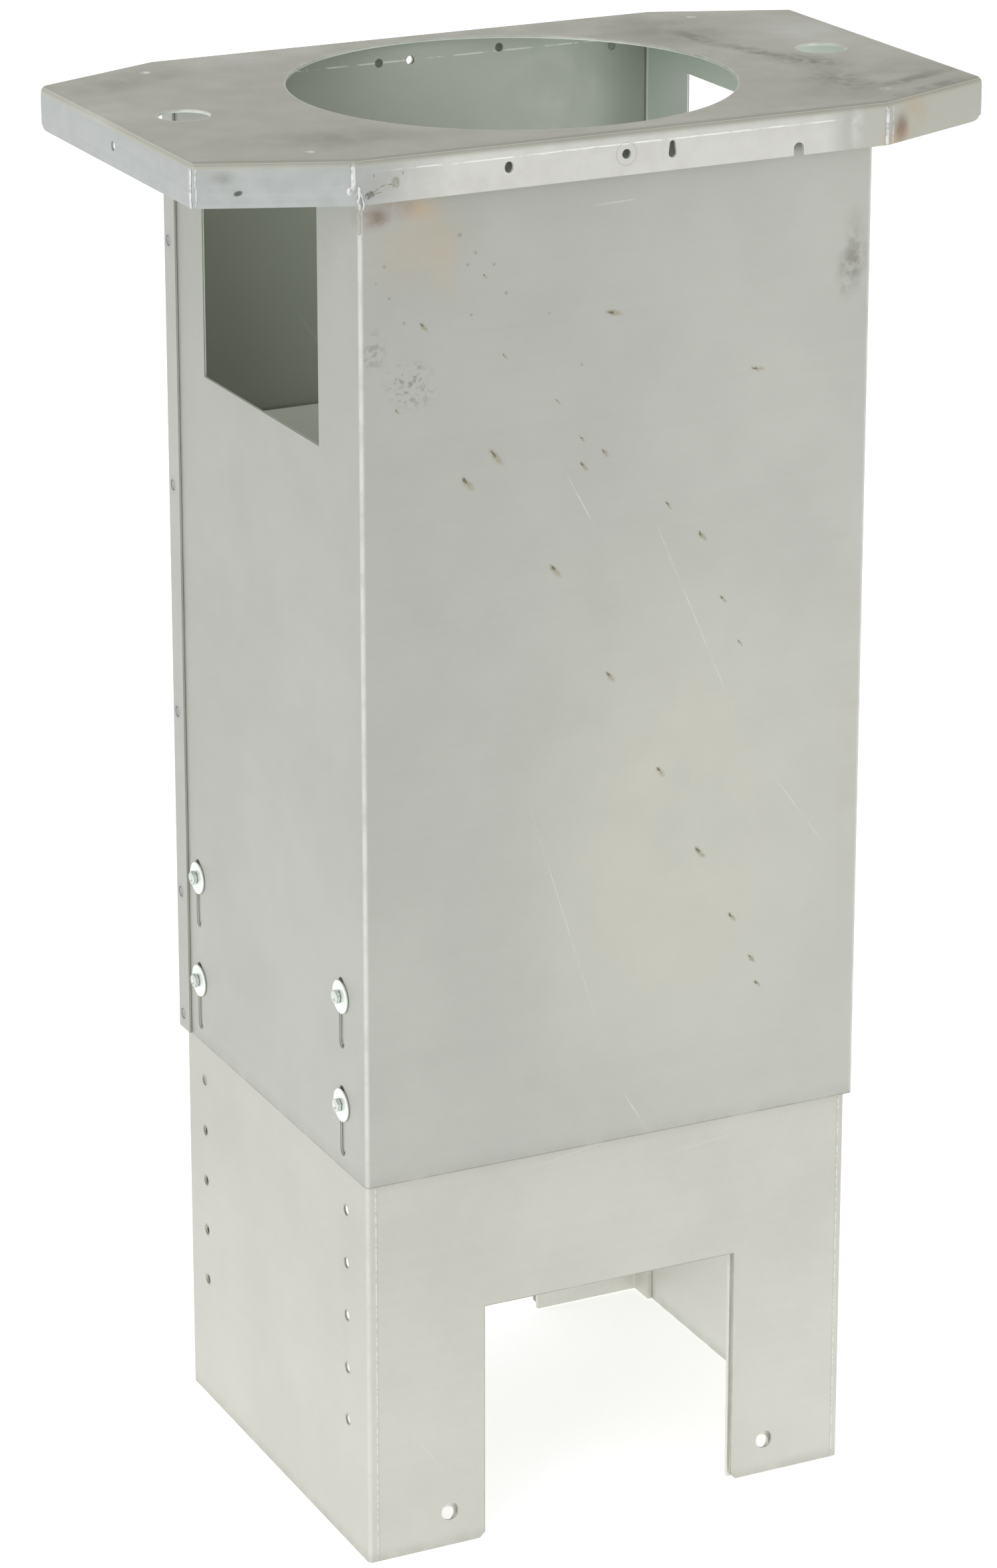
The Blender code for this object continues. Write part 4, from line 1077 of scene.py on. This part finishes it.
def washer_shape(bm, place, inner, outer):
    """Stamped washer: rolled outer edge, wide bore, and dished so that its middle stands off the wall."""
    thick = outer - inner
    bore, edge, face = SCREW_R + 0.0006, WASHER_R, inner + thick * 0.86
    skin(bm, turned(bm, place, (
        (bore, inner + DISH + 0.0001), (bore + 0.0002, inner + DISH), (edge * 0.62, inner + DISH * 0.55),
        (edge - 0.00045, inner), (edge - 0.00012, inner + 0.0001), (edge, inner + 0.0004),
        (edge, inner + thick * 0.5), (edge - 0.00015, inner + thick * 0.74),
        (edge - 0.0005, inner + thick * 0.84), (edge * 0.8, face + DISH * 0.2),
        (edge * 0.62, face + DISH * 0.55), (edge * 0.42, face + DISH), (bore + 0.0003, face + DISH),
        (bore, inner + thick * 0.8 + DISH))), closed=True)


def nut_shape(bm, place, inner, outer):
    """Hex nut with chamfered faces and a countersunk bore."""
    bore, af = SCREW_R + 0.00035, NUT_AF
    skin(bm, turned(bm, place, (
        (bore, outer - 0.0004), (bore + 0.0004, outer), (af * 0.49, outer), (af, outer - 0.0005, 0.0),
        (af, inner + 0.0005, 0.0), (af * 0.49, inner), (bore + 0.0004, inner), (bore, inner + 0.0004))),
         closed=True)


# ---------------- dress the object
dress("shell_front", shell_front_material())
dress("shell_rear", shell_rear_material())
dress("sleeve_front_left", sleeve_material("sleeve_front_left", 1.0))
dress("sleeve_rear_right", sleeve_material("sleeve_rear_right", -1.0))
# the foot angles take the sleeve's brighter inner colour: painted light
angle_steel = plain_steel("galvanneal_angles", SLEEVE_INNER_LIT, 0.5)
for node_name in NODES:
    if node_name.startswith("foot_angle"):
        dress(node_name, angle_steel)
weld_metal = weld_material()
plate_piece(plate_material())
lip_beads(weld_metal, plain_steel("ground_steel", LIP_PALE, 0.4, 0.45))
corner_tack(plain_steel("tack_steel", TACK, 0.42, 0.4), plain_steel("weld_scale", WELD_SCALE, 0.6, 0.1))
fillet_beads(weld_metal)
spot_welds(plain_steel("nugget_steel", NUGGET, 0.42, 0.45))
fasteners(zinc_material("zinc_plate", ZINC), zinc_material("zinc_screw", ZINC_SCREW))


# ---------------- stage, light and camera
HORIZON, ZENITH = (1.0, 1.0, 1.0, 1.0), (0.55, 0.55, 0.56, 1.0)


def add_floor():
    bm = bmesh.new()
    bmesh.ops.create_grid(bm, x_segments=1, y_segments=1, size=9.0)
    floor = put("floor", made_mesh("floor", bm))
    floor.location = (0.0, 0.0, -0.0005)
    graph = Graph("floor_paper")
    for name, value in (("Base Color", (0.93, 0.93, 0.93, 1.0)), ("Roughness", 0.9),
                        ("Emission Color", (1.0, 1.0, 1.0, 1.0)), ("Emission Strength", 0.56)):
        graph.shader.inputs[name].default_value = value
    floor.data.materials.append(graph.material)


def add_area(name, place, target, size, power):
    light = bpy.data.lights.new(name, "AREA")
    light.shape = "RECTANGLE"
    light.size, light.size_y = size
    light.energy = power
    obj = put(name, light)
    obj.location = place
    obj.rotation_euler = (Vector(target) - Vector(place)).to_track_quat("-Z", "Y").to_euler()


def add_world():
    world = bpy.data.worlds.new("studio")
    bpy.context.scene.world = world
    world.use_nodes = True
    nodes, links = world.node_tree.nodes, world.node_tree.links
    background = nodes["Background"]
    direction = nodes.new("ShaderNodeTexCoord").outputs["Generated"]
    split = nodes.new("ShaderNodeSeparateXYZ")
    links.new(direction, split.inputs[0])
    ramp = nodes.new("ShaderNodeValToRGB")
    links.new(split.outputs["Z"], ramp.inputs[0])
    for stop, position, colour in zip(ramp.color_ramp.elements, (0.15, 0.85), (HORIZON, ZENITH)):
        stop.position = position
        stop.color = colour
    links.new(ramp.outputs[0], background.inputs["Color"])
    background.inputs["Strength"].default_value = 1.05


def add_camera():
    """The photograph's view: a long lens from the left front, with the frame off the lens's centre."""
    camera = bpy.data.cameras.new("camera")
    camera.sensor_width = 36.0
    camera.lens = 115.07
    camera.shift_x = 0.1006
    camera.shift_y = -0.1611
    camera.clip_end = 60.0
    obj = put("camera", camera)
    obj.location = (-1.42582, -2.86995, 1.64292)
    obj.rotation_euler = tuple(math.radians(a) for a in (72.8575, 0.5174, -24.5422))
    bpy.context.scene.camera = obj


add_floor()
add_world()
add_area("key", (-2.72, -1.46, 1.9), (0.0, 0.0, 0.5), (2.0, 2.4), 29.0)
add_area("low_fill", (1.1, -1.5, 0.3), (0.12, -0.15, 0.3), (0.9, 0.8), 1.5)
add_camera()
bpy.context.scene.view_settings.view_transform = "Standard"
